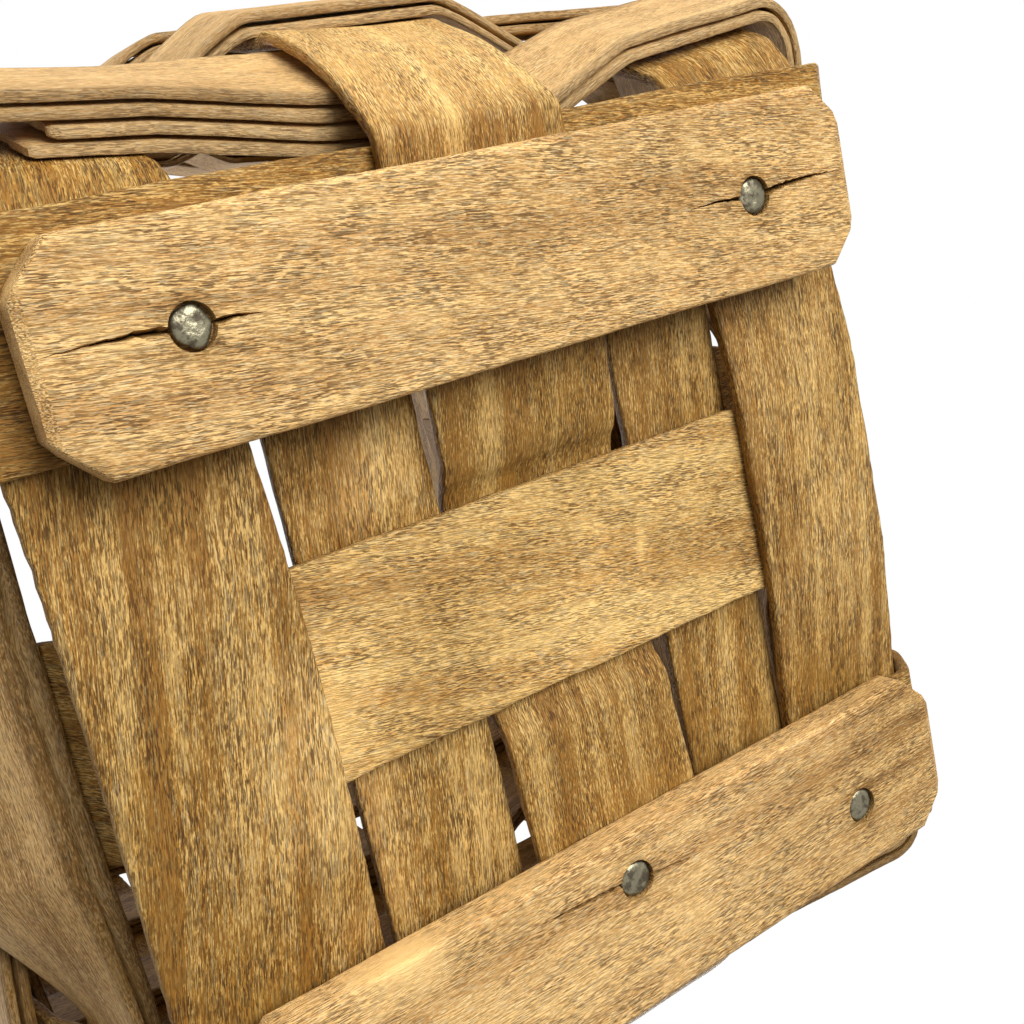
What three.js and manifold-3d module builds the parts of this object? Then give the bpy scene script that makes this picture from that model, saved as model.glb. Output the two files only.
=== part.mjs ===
// A square storage basket woven of wide wooden splints, standing on two nailed runners.
// Millimetres, +Z up. The origin is the middle of the footprint on the surface it stands on.
// X runs along the runners. The front wall is at -Y, and the walls follow anticlockwise from it.
import * as THREE from "three";
import { mergeVertices } from "three/addons/utils/BufferGeometryUtils.js";
import Module from "manifold-3d";

// Splints
const STAKE_THICKNESS = 1.9;
const WEAVER_THICKNESS = 1.5;
const CLEARANCE = 0.35;

// Base grid: three wide stakes each way, with two fillers between the lengthwise ones
const STAKE_PITCH = 55;
const STAKE_WIDTH = 30.6;
const LEFT_STAKE_SHIFT = -1.8;
const LEFT_STAKE_WIDTH = 31.6;
const RIGHT_STAKE_SHIFT = 0.7;
const RIGHT_STAKE_WIDTH = 28.8;
const MIDDLE_STAKE_SHIFT = 1.6;
const MIDDLE_CROSS_STAKE_SHIFT = -2.3;
const MIDDLE_STAKE_WIDTH = 32.2;
const FILLER_END_INSET = 2.4;
const FILLER_LEFT_SLOT = 2.1;
const FILLER_RIGHT_SLOT = 2.9;
const FILLER_MIDDLE_SLOT = 0.45;
const FILLER_TUCK = 1.1;
const CROSSING_MARGIN = 1.4;
const CREASE_LENGTH = 4.5;
const CREASE_SHARE = 0.4;

// Walls, which bow outward between the corners and rise steeper as they go up
const FOOT_MARGIN = 0.8;
const FOOT_TUCK = 2.2;
const FOOT_INSET = 4.9;
const WALL_SPREAD = 30.6;
const WALL_EASE = 19;
const FOOT_STAGGER = 9;
const MIDDLE_STAGGER_GAIN = 0.8;
const FOOT_HOLLOW = 3.9;
const FOOT_EASE = 12.5;
const SIDE_BOW = 7.6;
const BOW_EASE = 12;
const SIDE_LEAN = 0.11;
const FOOT_TURN = 0.24;
const TURN_EASE = 42;
const KNEE_REACH = 1;
const KNEE_CLEARANCE = 1.6;
const ROW_RUN_IN = 0.8;
const LAP_RELIEF = 0.8;
const LAP_BULGE = 1.9;
const LAP_BULGE_SHARE = 0.35;
const LAP_TILT = 0.09;

// Weaver rows, each of two splints laid face to face
const ROW_COUNT = 10;
const FIRST_ROW_HEIGHT = 9.6;
const WEAVER_WIDTH = 16.6;
const ROW_GAP = 1.7;
const PLY_GAP = 0.6;
const CORNER_STAND_OFF = 1.2;
const LAP_STARTS = [0.6, 0.5];
const LAP_END = 0.75;
const WEAVE_HOLD = 0.34;
const CORNER_SHARES = [0.25, 0.5, 0.75];

// Rim
const RIM_BAND_HEIGHT = 17;
const OUTER_BAND_THICKNESS = 3;
const INNER_BAND_THICKNESS = 2.4;
const STAKE_TOP_INSET = 1;
const TACK_HEAD_RADIUS = 2.6;
const TACK_HEAD_HEIGHT = 0.9;
const TACK_SHANK_RADIUS = 0.8;
const TACK_TIP_INSET = 1;

// Runners and their nails
const RUNNER_THICKNESS = 6.3;
const RUNNER_WIDTH = 29.4;
const RUNNER_END_INSET = 2.6;
const RUNNER_LINE_INSET = 3.2;
const RUNNER_CORNER_CUT = 6;
const RUNNER_EDGE_BEVEL = 0.5;
const NAIL_HEAD_RADIUS = 3;
const NAIL_HEAD_HEIGHT = 1.1;
const NAIL_HEAD_SINK = 0.15;
const NAIL_SHANK_RADIUS = 1.1;
const NAIL_TIP_LENGTH = 2.2;
const NAIL_TIP_INSET = 0.9;

// Each nail's runner, the stake it goes into, and its offset from where their centre lines cross
const NAILS = [
  { name: "runner_front_nail_left", runner: 0, stake: 0, along: 9, across: -0.8 },
  { name: "runner_front_nail_right", runner: 0, stake: 2, along: -9.6, across: 0.4 },
  { name: "runner_back_nail_left", runner: 1, stake: 0, along: 9.4, across: 0.8 },
  { name: "runner_back_nail_middle", runner: 1, stake: 1, along: -4, across: -7 },
  { name: "runner_back_nail_right", runner: 1, stake: 2, along: -8.8, across: 3.2 },
];

const UP = new THREE.Vector3(0, 0, 1);
const ROUND_SIDES = 10;
const LAYER = STAKE_THICKNESS + CLEARANCE;
const PLY_LAYER = WEAVER_THICKNESS + PLY_GAP;
const BASE_Z = RUNNER_THICKNESS + CLEARANCE;
const GRID_HALF = STAKE_PITCH + STAKE_WIDTH / 2;
const FOOT_HALF = GRID_HALF - FOOT_INSET;
const MOUTH_HALF = FOOT_HALF + WALL_SPREAD;
const ROW_PITCH = WEAVER_WIDTH + ROW_GAP;
const RIM_LOW = FIRST_ROW_HEIGHT + ROW_COUNT * ROW_PITCH;
const WALL_TOP = RIM_LOW + RIM_BAND_HEIGHT;
const STAKE_TOP = WALL_TOP - STAKE_TOP_INSET;

const FINISHES = {
  splint: new THREE.MeshStandardMaterial({ color: 0xb28445, roughness: 0.62, metalness: 0 }),
  weaver: new THREE.MeshStandardMaterial({ color: 0xc29a5e, roughness: 0.62, metalness: 0 }),
  band: new THREE.MeshStandardMaterial({ color: 0xba8c4e, roughness: 0.58, metalness: 0 }),
  runner: new THREE.MeshStandardMaterial({ color: 0xc9a264, roughness: 0.66, metalness: 0 }),
  nail: new THREE.MeshStandardMaterial({ color: 0x8b8a80, roughness: 0.42, metalness: 0.9 }),
};

const wasm = await Module();
wasm.setup();
const basket = new THREE.Group();

function addPiece(name, geometry, finish) {
  const piece = new THREE.Mesh(geometry, FINISHES[finish]);
  piece.name = name;
  basket.add(piece);
}

function toSolid(geometry) {
  const bare = geometry.clone();
  bare.deleteAttribute("normal");
  bare.deleteAttribute("uv");
  const merged = mergeVertices(bare, 1e-4);
  const vertProperties = new Float32Array(merged.attributes.position.array);
  const triVerts = new Uint32Array(merged.index.array);
  return new wasm.Manifold(new wasm.Mesh({ numProp: 3, vertProperties, triVerts }));
}

function toGeometry(solid) {
  const mesh = solid.getMesh();
  const geometry = new THREE.BufferGeometry();
  geometry.setAttribute("position", new THREE.BufferAttribute(mesh.vertProperties, 3));
  geometry.setIndex(new THREE.BufferAttribute(mesh.triVerts, 1));
  return geometry;
}

function cutAll(geometry, cutters) {
  return toGeometry(cutters.reduce((solid, cutter) => solid.subtract(toSolid(cutter)), toSolid(geometry)));
}

// A closed strip through four matching rails, given in turn round its section. Its two broad faces
// are split along matching diagonals, so that strips laid face to face stay parallel.
function ribbon(rails, isRing = false) {
  const count = rails[0].length;
  const positions = rails.flat().flatMap((point) => point.toArray());
  const indices = [];
  const quad = (a, b, c, d) => indices.push(a, b, c, a, c, d);
  const spans = isRing ? count : count - 1;
  for (let i = 0; i < spans; i += 1) {
    const next = (i + 1) % count;
    const [a, b, c, d] = [0, 1, 2, 3].map((rail) => rail * count);
    quad(a + i, a + next, b + next, b + i);
    quad(b + i, b + next, c + next, c + i);
    quad(c + next, d + next, d + i, c + i);
    quad(d + i, d + next, a + next, a + i);
  }
  if (!isRing) {
    const starts = [0, 1, 2, 3].map((rail) => rail * count);
    const ends = starts.map((start) => start + count - 1).reverse();
    quad(...starts);
    quad(...ends);
  }
  const geometry = new THREE.BufferGeometry();
  geometry.setAttribute("position", new THREE.Float32BufferAttribute(positions, 3));
  geometry.setIndex(indices);
  return geometry;
}

// A turned piece about +Z, from a closed profile of radius and height.
function turned(profile) {
  const points = profile.map(([radius, height]) => new THREE.Vector2(radius, height));
  const geometry = new THREE.LatheGeometry(points, ROUND_SIDES).rotateX(Math.PI / 2);
  return toGeometry(toSolid(geometry));
}

function drill(radius, low, high) {
  const geometry = new THREE.CylinderGeometry(radius, radius, high - low, ROUND_SIDES);
  return geometry.rotateX(Math.PI / 2).translate(0, 0, (low + high) / 2);
}

// The four sides anticlockwise from the front, each with its outward and its onward direction
const SIDES = [0, 1, 2, 3].map((index) => {
  const angle = (index * Math.PI) / 2;
  const onward = new THREE.Vector3(Math.round(Math.cos(angle)), Math.round(Math.sin(angle)), 0);
  const outward = new THREE.Vector3(onward.y, -onward.x, 0);
  return { onward, outward };
});

// The stakes of each direction: their centre lines, and their layers in from the outermost face
// where they cross the outer and the middle stakes of the other direction
const LEFT_CENTRE = -STAKE_PITCH + LEFT_STAKE_SHIFT;
const RIGHT_CENTRE = STAKE_PITCH + RIGHT_STAKE_SHIFT;
const STAKES = [
  { name: "stake_left", centre: LEFT_CENTRE, width: LEFT_STAKE_WIDTH, endLayer: 1, middleLayer: 0 },
  { name: "stake_middle", centre: MIDDLE_STAKE_SHIFT, width: MIDDLE_STAKE_WIDTH, endLayer: 0, middleLayer: 2 },
  { name: "stake_right", centre: RIGHT_CENTRE, width: RIGHT_STAKE_WIDTH, endLayer: 1, middleLayer: 0 },
];
const CROSS_STAKES = [
  { name: "cross_stake_front", centre: -STAKE_PITCH, width: STAKE_WIDTH, endLayer: 0, middleLayer: 1 },
  {
    name: "cross_stake_middle",
    centre: MIDDLE_CROSS_STAKE_SHIFT,
    width: MIDDLE_STAKE_WIDTH,
    endLayer: 1,
    middleLayer: 1,
  },
  { name: "cross_stake_back", centre: STAKE_PITCH, width: STAKE_WIDTH, endLayer: 0, middleLayer: 1 },
];

// The sides that the stakes of each direction start from
const STAKE_START_SIDE = 0;
const CROSS_STAKE_START_SIDE = 3;

// The twelve uprights in order round the basket, each with its place along its side
const UPRIGHTS = SIDES.flatMap((_, side) => {
  const stakes = side % 2 === 0 ? STAKES : CROSS_STAKES;
  const sense = side < 2 ? 1 : -1;
  const uprights = stakes.map((stake) => ({ stake, side, along: sense * stake.centre }));
  return uprights.sort((a, b) => a.along - b.along);
});

const edgesOf = (stake) => [stake.centre - stake.width / 2, stake.centre + stake.width / 2];

const rowLow = (row) => FIRST_ROW_HEIGHT + row * ROW_PITCH;
const rowMiddle = (row) => rowLow(row) + WEAVER_WIDTH / 2;
const rowHigh = (row) => rowLow(row) + WEAVER_WIDTH;

// Each row starts a side further round than the one below, goes once round and laps over its first
// two uprights, so that two pairs of plies lie together there.
const ROWS = Array.from({ length: ROW_COUNT }, (_, row) => row);
const LAPPED_UPRIGHTS = 2;
const firstUpright = (row) => 3 * (row % 4) + (row % 2);
const passesOutside = (row, upright) => (upright.stake.endLayer + row) % 2 === 1;
const stepOf = (row, upright) =>
  (UPRIGHTS.indexOf(upright) - firstUpright(row) + UPRIGHTS.length) % UPRIGHTS.length;

// Whether an upright stands outside the lap of a row, and so bulges over its four plies.
const bulgesOver = (row, upright) =>
  row < ROW_COUNT && stepOf(row, upright) < LAPPED_UPRIGHTS && !passesOutside(row, upright);

// The share of the full bow that a side has at a height above the base. The bow starts with row 1.
function bowShare(height) {
  return 1 - Math.exp(-(height - FIRST_ROW_HEIGHT) / BOW_EASE);
}

// An upright's outer face at a height above the base: its distance from the middle of the basket.
// Where a stake lies outermost at the base it stands farther out at its foot than its neighbours,
// most of all in the middle of a side, and the side is a little hollow there.
function faceDepth({ stake, along }, height) {
  const fromMiddle = (along / STAKE_PITCH) ** 2;
  const wall = MOUTH_HALF - WALL_SPREAD * Math.exp(-height / WALL_EASE);
  const stagger = FOOT_STAGGER * (0.5 - stake.endLayer) * (1 + MIDDLE_STAGGER_GAIN * (1 - fromMiddle));
  const hollow = FOOT_HOLLOW * (1 - fromMiddle);
  const foot = (stagger - hollow) * Math.exp(-height / FOOT_EASE);
  return wall + foot - SIDE_BOW * bowShare(height) * fromMiddle;
}

// How far an upright turns: near its foot towards the corner, and higher up with the bowed side.
// Over a lap its edge beside the four plies stands out. It keeps one turn over the width of each
// row, so that the row lies flat on it.
function leanAt(upright, height) {
  const row = Math.floor((height - FIRST_ROW_HEIGHT) / ROW_PITCH + 0.01);
  const middle = rowMiddle(row);
  const turn = SIDE_LEAN * bowShare(middle) - FOOT_TURN * Math.exp(-middle / TURN_EASE);
  const tilt = bulgesOver(row, upright) ? LAP_TILT * (stepOf(row, upright) === 0 ? -1 : 1) : 0;
  return (turn * upright.along) / STAKE_PITCH + tilt;
}

// The level cut across an upright's outer face: its two edges and its own two directions.
function facetAt(upright, height) {
  const { onward, outward } = SIDES[upright.side];
  const middle = outward.clone().multiplyScalar(faceDepth(upright, height));
  middle.addScaledVector(onward, upright.along).setZ(BASE_Z + height);
  const lean = leanAt(upright, height);
  const facing = outward.clone().applyAxisAngle(UP, lean);
  const heading = onward.clone().applyAxisAngle(UP, lean);
  const left = middle.clone().addScaledVector(heading, -upright.stake.width / 2);
  const right = middle.clone().addScaledVector(heading, upright.stake.width / 2);
  return { left, right, middle, facing, heading };
}

// One edge of an upright's outer face, "left" or "right", from just below the first row to its top.
// It runs straight past each row and past the rim, from a little below them. Over a lap it stands
// off the plies and bulges.
function risingEdge(upright, edge) {
  const pointAt = (low, high, share, standOff) => {
    const [start, end] = [low, high].map((height) => facetAt(upright, height));
    return start[edge].clone().lerp(end[edge], share).addScaledVector(start.facing, standOff);
  };
  const points = ROWS.flatMap((row) => {
    const at = (share, standOff) => pointAt(rowLow(row), rowHigh(row), share, standOff);
    const runIn = -(row === 0 ? KNEE_CLEARANCE : ROW_RUN_IN) / WEAVER_WIDTH;
    if (!bulgesOver(row, upright)) return [at(runIn, 0), at(1, 0)];
    return [at(runIn, LAP_RELIEF), at(LAP_BULGE_SHARE, LAP_BULGE), at(1, LAP_RELIEF)];
  });
  const runIn = -ROW_RUN_IN / (STAKE_TOP - RIM_LOW);
  return [...points, pointAt(RIM_LOW, STAKE_TOP, runIn, 0), pointAt(RIM_LOW, STAKE_TOP, 1, 0)];
}

// How far out an upright's stake lies flat: past the edge of the stake that it crosses where it
// lies outside that stake, and short of the edge where it lies inside.
function flatReach({ stake, side }) {
  const edges = (side % 2 === 0 ? CROSS_STAKES : STAKES).flatMap(edgesOf);
  const edge = side === 1 || side === 2 ? Math.max(...edges) : -Math.min(...edges);
  return stake.endLayer === 0 ? edge + FOOT_MARGIN : edge - FOOT_TUCK;
}

const KNEE_SHARES = [0.25, 0.5, 0.75];

// The left and right edges of one upright. Its knee runs from the flat base to a point a little
// below the first row, from where the upright is straight up to that row's top.
function uprightEdges(upright) {
  const { onward, outward } = SIDES[upright.side];
  const z = BASE_Z + upright.stake.endLayer * LAYER;
  return ["left", "right"].map((edge) => {
    const [end, ...face] = risingEdge(upright, edge);
    const start = outward.clone().multiplyScalar(flatReach(upright)).setZ(z);
    start.addScaledVector(onward, end.dot(onward));
    const bend = start.clone().addScaledVector(outward, KNEE_REACH);
    const knee = new THREE.QuadraticBezierCurve3(start, bend, end);
    return [start, ...KNEE_SHARES.map((share) => knee.getPoint(share)), end, ...face];
  });
}

// A stake's run across the base: places along it, each with its layer in from the outermost face.
// The side stakes change layer evenly, and a stake that dives two layers creases beside the middle.
function baseCourse({ endLayer, middleLayer }, crossing) {
  const [firstEdges, middleEdges, lastEdges] = crossing.map(edgesOf);
  const course = [
    [firstEdges[1] + CROSSING_MARGIN, endLayer],
    [middleEdges[0] - CROSSING_MARGIN, middleLayer],
    [middleEdges[1] + CROSSING_MARGIN, middleLayer],
    [lastEdges[0] - CROSSING_MARGIN, endLayer],
  ];
  if (middleLayer - endLayer < 2) return course;
  const creaseLayer = endLayer + CREASE_SHARE * (middleLayer - endLayer);
  course.splice(1, 0, [middleEdges[0] - CREASE_LENGTH, creaseLayer]);
  course.splice(4, 0, [middleEdges[1] + CREASE_LENGTH, creaseLayer]);
  return course;
}

// A whole stake: down one wall, across the base and up the opposite wall.
function stakeGeometry(stake, startSide, crossing) {
  const { onward, outward } = SIDES[startSide];
  const start = UPRIGHTS.find((upright) => upright.stake === stake && upright.side === startSide);
  const end = UPRIGHTS.find((upright) => upright.stake === stake && upright.side !== startSide);
  const startEdges = uprightEdges(start);
  const endEdges = uprightEdges(end).reverse();
  const course = baseCourse(stake, crossing);
  const [leftEdge, rightEdge] = [-1, 1].map((sign, index) => {
    const along = start.along + (sign * stake.width) / 2;
    const base = course.map(([distance, layer]) => {
      const point = outward.clone().multiplyScalar(-distance).addScaledVector(onward, along);
      return point.setZ(BASE_Z + layer * LAYER);
    });
    return [...startEdges[index].reverse(), ...base, ...endEdges[index]];
  });
  const depths = leftEdge.map((left, i) => {
    const before = Math.max(i - 1, 0);
    const after = Math.min(i + 1, leftEdge.length - 1);
    const forward = leftEdge[after].clone().sub(leftEdge[before]).add(rightEdge[after]).sub(rightEdge[before]);
    const across = rightEdge[i].clone().sub(left);
    return across.cross(forward).setLength(STAKE_THICKNESS);
  });
  const thickened = (edge) => edge.map((point, i) => point.clone().add(depths[i]));
  return ribbon([leftEdge, rightEdge, thickened(rightEdge), thickened(leftEdge)]);
}

function fillerGeometry(left, right) {
  const length = 2 * (GRID_HALF - FILLER_END_INSET);
  const geometry = new THREE.BoxGeometry(right - left, length, STAKE_THICKNESS);
  return geometry.translate((left + right) / 2, 0, BASE_Z + 2 * LAYER + STAKE_THICKNESS / 2);
}

// From one stop to the next along a side: an easy S, with its points held out from the wall.
function alongSide(here, next, distance) {
  const hold = WEAVE_HOLD * here.end.distanceTo(next.start);
  const leave = here.end.clone().addScaledVector(here.heading, hold);
  const meet = next.start.clone().addScaledVector(next.heading, -hold);
  const curve = new THREE.CubicBezierCurve3(here.end, leave, meet, next.start);
  return [1 / 3, 2 / 3].map((share) => {
    const facing = here.facing.clone().lerp(next.facing, share);
    const slope = THREE.MathUtils.lerp(here.slope, next.slope, share);
    return curve.getPoint(share).addScaledVector(facing, distance * Math.hypot(1, slope));
  });
}

// From one stop to the next round a corner: a curve sampled at even turns, held out square to it.
// Both walls run outward as they rise, so the corner between them runs outward faster still.
function roundCorner(here, next, distance) {
  const cross = (a, b) => a.x * b.y - a.y * b.x;
  const gap = next.start.clone().sub(here.end);
  const sine = cross(here.heading, next.heading);
  const firstLeg = cross(gap, next.heading) / sine;
  const lastLeg = cross(here.heading, gap) / sine;
  const corner = here.end.clone().addScaledVector(here.heading, firstLeg);
  const curve = new THREE.QuadraticBezierCurve3(here.end, corner, next.start);
  const fullTurn = here.heading.angleTo(next.heading);
  return CORNER_SHARES.map((share) => {
    const turn = share * fullTurn;
    const fromFirst = firstLeg * Math.sin(turn);
    const fromLast = lastLeg * Math.sin(fullTurn - turn);
    const facing = here.facing.clone().applyAxisAngle(UP, turn);
    const slope = here.slope * Math.cos(turn) + next.slope * Math.sin(turn);
    const point = curve.getPoint(fromFirst / (fromFirst + fromLast));
    return point.addScaledVector(facing, distance * Math.hypot(1, slope));
  });
}

// The places where a strip between two heights lies flat on the uprights it passes, at one of
// those heights. Each stop's offset is measured square to the sloping stake face.
function placesAt(stops, height, low, high) {
  return stops.map(({ upright, from, to, offset }) => {
    const { left, right, facing, heading } = facetAt(upright, height);
    const slope = (faceDepth(upright, high) - faceDepth(upright, low)) / (high - low);
    const reach = offset * Math.hypot(1, slope);
    const at = (share) => left.clone().lerp(right, share).addScaledVector(facing, reach);
    return { side: upright.side, start: at(from), end: at(to), facing, heading, slope };
  });
}

// A line through those places and between them, at a distance outside them.
function rail(places, distance, isRing) {
  return places.flatMap((place, i) => {
    const out = distance * Math.hypot(1, place.slope);
    const ends = [place.start, place.end].map((point) => point.clone().addScaledVector(place.facing, out));
    const next = isRing ? places[(i + 1) % places.length] : places[i + 1];
    if (!next) return ends;
    const bridge = next.side === place.side ? alongSide : roundCorner;
    return [...ends, ...bridge(place, next, distance)];
  });
}

// A strip along the walls between two heights, with its inner face a distance outside its stops.
function bandGeometry(stops, low, high, distance, thickness, isRing = false) {
  const lowPlaces = placesAt(stops, low, low, high);
  const highPlaces = placesAt(stops, high, low, high);
  const rails = [
    rail(lowPlaces, distance + thickness, isRing),
    rail(highPlaces, distance + thickness, isRing),
    rail(highPlaces, distance, isRing),
    rail(lowPlaces, distance, isRing),
  ];
  return ribbon(rails, isRing);
}

// The stops of one ply of a row, with how far its pair's inner face is from the outer stake face.
// A single pair stands off the corner uprights that it passes outside, as it is too stiff to follow.
function plyStops(row, ply) {
  const stopCount = UPRIGHTS.length + LAPPED_UPRIGHTS;
  return Array.from({ length: stopCount }, (_, step) => {
    const upright = UPRIGHTS[(firstUpright(row) + step) % UPRIGHTS.length];
    const isOutside = passesOutside(row, upright);
    const isUnderLap = step < LAPPED_UPRIGHTS;
    const isOverLap = step >= UPRIGHTS.length;
    const pairsInside = isOutside ? Number(isOverLap) : -1 - Number(isUnderLap);
    const isAtCorner = upright.stake !== STAKES[1] && upright.stake !== CROSS_STAKES[1];
    const standOff = isAtCorner && !isUnderLap && !isOverLap ? CORNER_STAND_OFF : 0;
    const stakeGap = isOutside ? CLEARANCE + standOff : -STAKE_THICKNESS - CLEARANCE + PLY_GAP;
    const from = step === 0 ? LAP_STARTS[ply] : 0;
    const to = step === stopCount - 1 ? LAP_END : 1;
    return { upright, from, to, offset: stakeGap + pairsInside * 2 * PLY_LAYER };
  });
}

function plyGeometry(row, ply) {
  const distance = (1 - ply) * PLY_LAYER;
  return bandGeometry(plyStops(row, ply), rowLow(row), rowHigh(row), distance, WEAVER_THICKNESS);
}

function rimGeometry(offset, thickness) {
  const stops = UPRIGHTS.map((upright) => ({ upright, from: 0, to: 1, offset }));
  return bandGeometry(stops, RIM_LOW, WALL_TOP, 0, thickness, true);
}

// Places a piece made along +Z so that it points inward through the rim at an upright.
function throughRim(geometry, upright) {
  const { middle, facing } = facetAt(upright, (RIM_LOW + WALL_TOP) / 2);
  const start = middle.addScaledVector(facing, CLEARANCE + OUTER_BAND_THICKNESS);
  const turn = new THREE.Quaternion().setFromUnitVectors(UP, facing.negate());
  return geometry.applyQuaternion(turn).translate(start.x, start.y, start.z);
}

const RIM_STACK = OUTER_BAND_THICKNESS + STAKE_THICKNESS + INNER_BAND_THICKNESS + 2 * CLEARANCE;
const TACK_TIP = RIM_STACK - TACK_TIP_INSET;

function tackGeometry() {
  return turned([
    [0, -CLEARANCE - TACK_HEAD_HEIGHT],
    [TACK_HEAD_RADIUS * 0.7, -CLEARANCE - TACK_HEAD_HEIGHT],
    [TACK_HEAD_RADIUS, -CLEARANCE - TACK_HEAD_HEIGHT / 2],
    [TACK_HEAD_RADIUS, -CLEARANCE],
    [TACK_SHANK_RADIUS, -CLEARANCE],
    [TACK_SHANK_RADIUS, TACK_TIP - 2 * TACK_SHANK_RADIUS],
    [0, TACK_TIP],
  ]);
}

function tackHole(upright) {
  return throughRim(drill(TACK_SHANK_RADIUS + CLEARANCE, -1, TACK_TIP + CLEARANCE), upright);
}

function tackHolesOf(stake) {
  return UPRIGHTS.filter((upright) => upright.stake === stake).map(tackHole);
}

const RUNNER_LINE = STAKE_PITCH - RUNNER_LINE_INSET;
const RUNNERS = [
  { name: "runner_front", line: -RUNNER_LINE },
  { name: "runner_back", line: RUNNER_LINE },
];

function runnerGeometry(line) {
  const x = GRID_HALF - RUNNER_END_INSET - RUNNER_EDGE_BEVEL;
  const y = RUNNER_WIDTH / 2 - RUNNER_EDGE_BEVEL;
  const cut = RUNNER_CORNER_CUT;
  const corners = [
    [x - cut, -y],
    [x, -y + cut],
    [x, y - cut],
    [x - cut, y],
    [-x + cut, y],
    [-x, y - cut],
    [-x, -y + cut],
    [-x + cut, -y],
  ];
  const outline = new THREE.Shape(corners.map(([px, py]) => new THREE.Vector2(px, py)));
  const geometry = new THREE.ExtrudeGeometry(outline, {
    depth: RUNNER_THICKNESS - 2 * RUNNER_EDGE_BEVEL,
    bevelThickness: RUNNER_EDGE_BEVEL,
    bevelSize: RUNNER_EDGE_BEVEL,
    bevelSegments: 1,
  });
  return geometry.translate(0, line, RUNNER_EDGE_BEVEL);
}

const NAIL_TIP = BASE_Z + LAYER + STAKE_THICKNESS - NAIL_TIP_INSET;
const NAIL_HEAD_TOP = NAIL_HEAD_SINK + NAIL_HEAD_HEIGHT;

function atNail(geometry, nail) {
  const x = STAKES[nail.stake].centre + nail.along;
  const y = RUNNERS[nail.runner].line + nail.across;
  return geometry.translate(x, y, 0);
}

function nailGeometry(nail) {
  const profile = [
    [0, NAIL_HEAD_SINK],
    [NAIL_HEAD_RADIUS * 0.8, NAIL_HEAD_SINK],
    [NAIL_HEAD_RADIUS, NAIL_HEAD_SINK + NAIL_HEAD_HEIGHT / 3],
    [NAIL_HEAD_RADIUS, NAIL_HEAD_TOP],
    [NAIL_SHANK_RADIUS, NAIL_HEAD_TOP],
    [NAIL_SHANK_RADIUS, NAIL_TIP - NAIL_TIP_LENGTH],
    [0, NAIL_TIP],
  ];
  return atNail(turned(profile), nail);
}

function nailHole(nail) {
  return atNail(drill(NAIL_SHANK_RADIUS + CLEARANCE, -1, NAIL_TIP + CLEARANCE), nail);
}

function nailSeat(nail) {
  return atNail(drill(NAIL_HEAD_RADIUS + CLEARANCE, -1, NAIL_HEAD_TOP + CLEARANCE), nail);
}

// Assembly
RUNNERS.forEach(({ name, line }, index) => {
  const nails = NAILS.filter((nail) => nail.runner === index);
  const cutters = nails.flatMap((nail) => [nailHole(nail), nailSeat(nail)]);
  addPiece(name, cutAll(runnerGeometry(line), cutters), "runner");
});
NAILS.forEach((nail) => addPiece(nail.name, nailGeometry(nail), "nail"));

function addStake(stake, startSide, crossing) {
  const holes = [...NAILS.map(nailHole), ...tackHolesOf(stake)];
  addPiece(stake.name, cutAll(stakeGeometry(stake, startSide, crossing), holes), "splint");
}
CROSS_STAKES.forEach((stake) => addStake(stake, CROSS_STAKE_START_SIDE, STAKES));
STAKES.forEach((stake) => addStake(stake, STAKE_START_SIDE, CROSS_STAKES));

const [leftEdges, middleEdges, rightEdges] = STAKES.map(edgesOf);
const leftFiller = [leftEdges[1] + FILLER_LEFT_SLOT, middleEdges[0] - FILLER_MIDDLE_SLOT];
const rightFiller = [middleEdges[1] + FILLER_RIGHT_SLOT, rightEdges[0] + FILLER_TUCK];
addPiece("filler_left", fillerGeometry(...leftFiller), "splint");
addPiece("filler_right", fillerGeometry(...rightFiller), "splint");

ROWS.forEach((row) => {
  const number = String(row + 1).padStart(2, "0");
  addPiece(`weaver_${number}_outer`, plyGeometry(row, 0), "weaver");
  addPiece(`weaver_${number}_inner`, plyGeometry(row, 1), "weaver");
});

const rimHoles = UPRIGHTS.map(tackHole);
const outerBand = rimGeometry(CLEARANCE, OUTER_BAND_THICKNESS);
const innerOffset = -STAKE_THICKNESS - CLEARANCE - INNER_BAND_THICKNESS;
const innerBand = rimGeometry(innerOffset, INNER_BAND_THICKNESS);
addPiece("rim_band_outer", cutAll(outerBand, rimHoles), "band");
addPiece("rim_band_inner", cutAll(innerBand, rimHoles), "band");
UPRIGHTS.forEach((upright, index) => {
  const number = String(index + 1).padStart(2, "0");
  addPiece(`rim_tack_${number}`, throughRim(tackGeometry(), upright), "nail");
});

export default basket;
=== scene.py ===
"""Looks of a square storage basket woven of wide wooden splints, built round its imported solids."""

import functools
import logging
import math
from dataclasses import dataclass, field
from enum import Enum

import bpy
import numpy as np
from mathutils import Matrix, Vector


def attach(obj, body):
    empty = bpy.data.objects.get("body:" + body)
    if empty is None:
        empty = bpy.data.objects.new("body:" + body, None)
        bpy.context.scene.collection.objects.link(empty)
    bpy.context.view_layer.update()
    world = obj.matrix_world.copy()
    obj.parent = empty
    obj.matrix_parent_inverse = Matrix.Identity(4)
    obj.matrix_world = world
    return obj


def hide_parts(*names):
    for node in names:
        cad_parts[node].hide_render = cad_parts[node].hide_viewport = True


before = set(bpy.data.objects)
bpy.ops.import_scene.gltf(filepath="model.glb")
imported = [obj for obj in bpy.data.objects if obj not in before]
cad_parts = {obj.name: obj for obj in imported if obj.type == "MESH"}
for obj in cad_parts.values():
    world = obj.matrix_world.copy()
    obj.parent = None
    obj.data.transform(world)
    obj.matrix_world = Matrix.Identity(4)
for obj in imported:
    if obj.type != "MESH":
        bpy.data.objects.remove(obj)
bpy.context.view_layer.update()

LOG = logging.getLogger("basket")
MM = 0.001
UNDERSIDE_TOP = 14.0
SOFTEN_LIMIT = 0.45
CUT_MARGIN = 0.5
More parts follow.
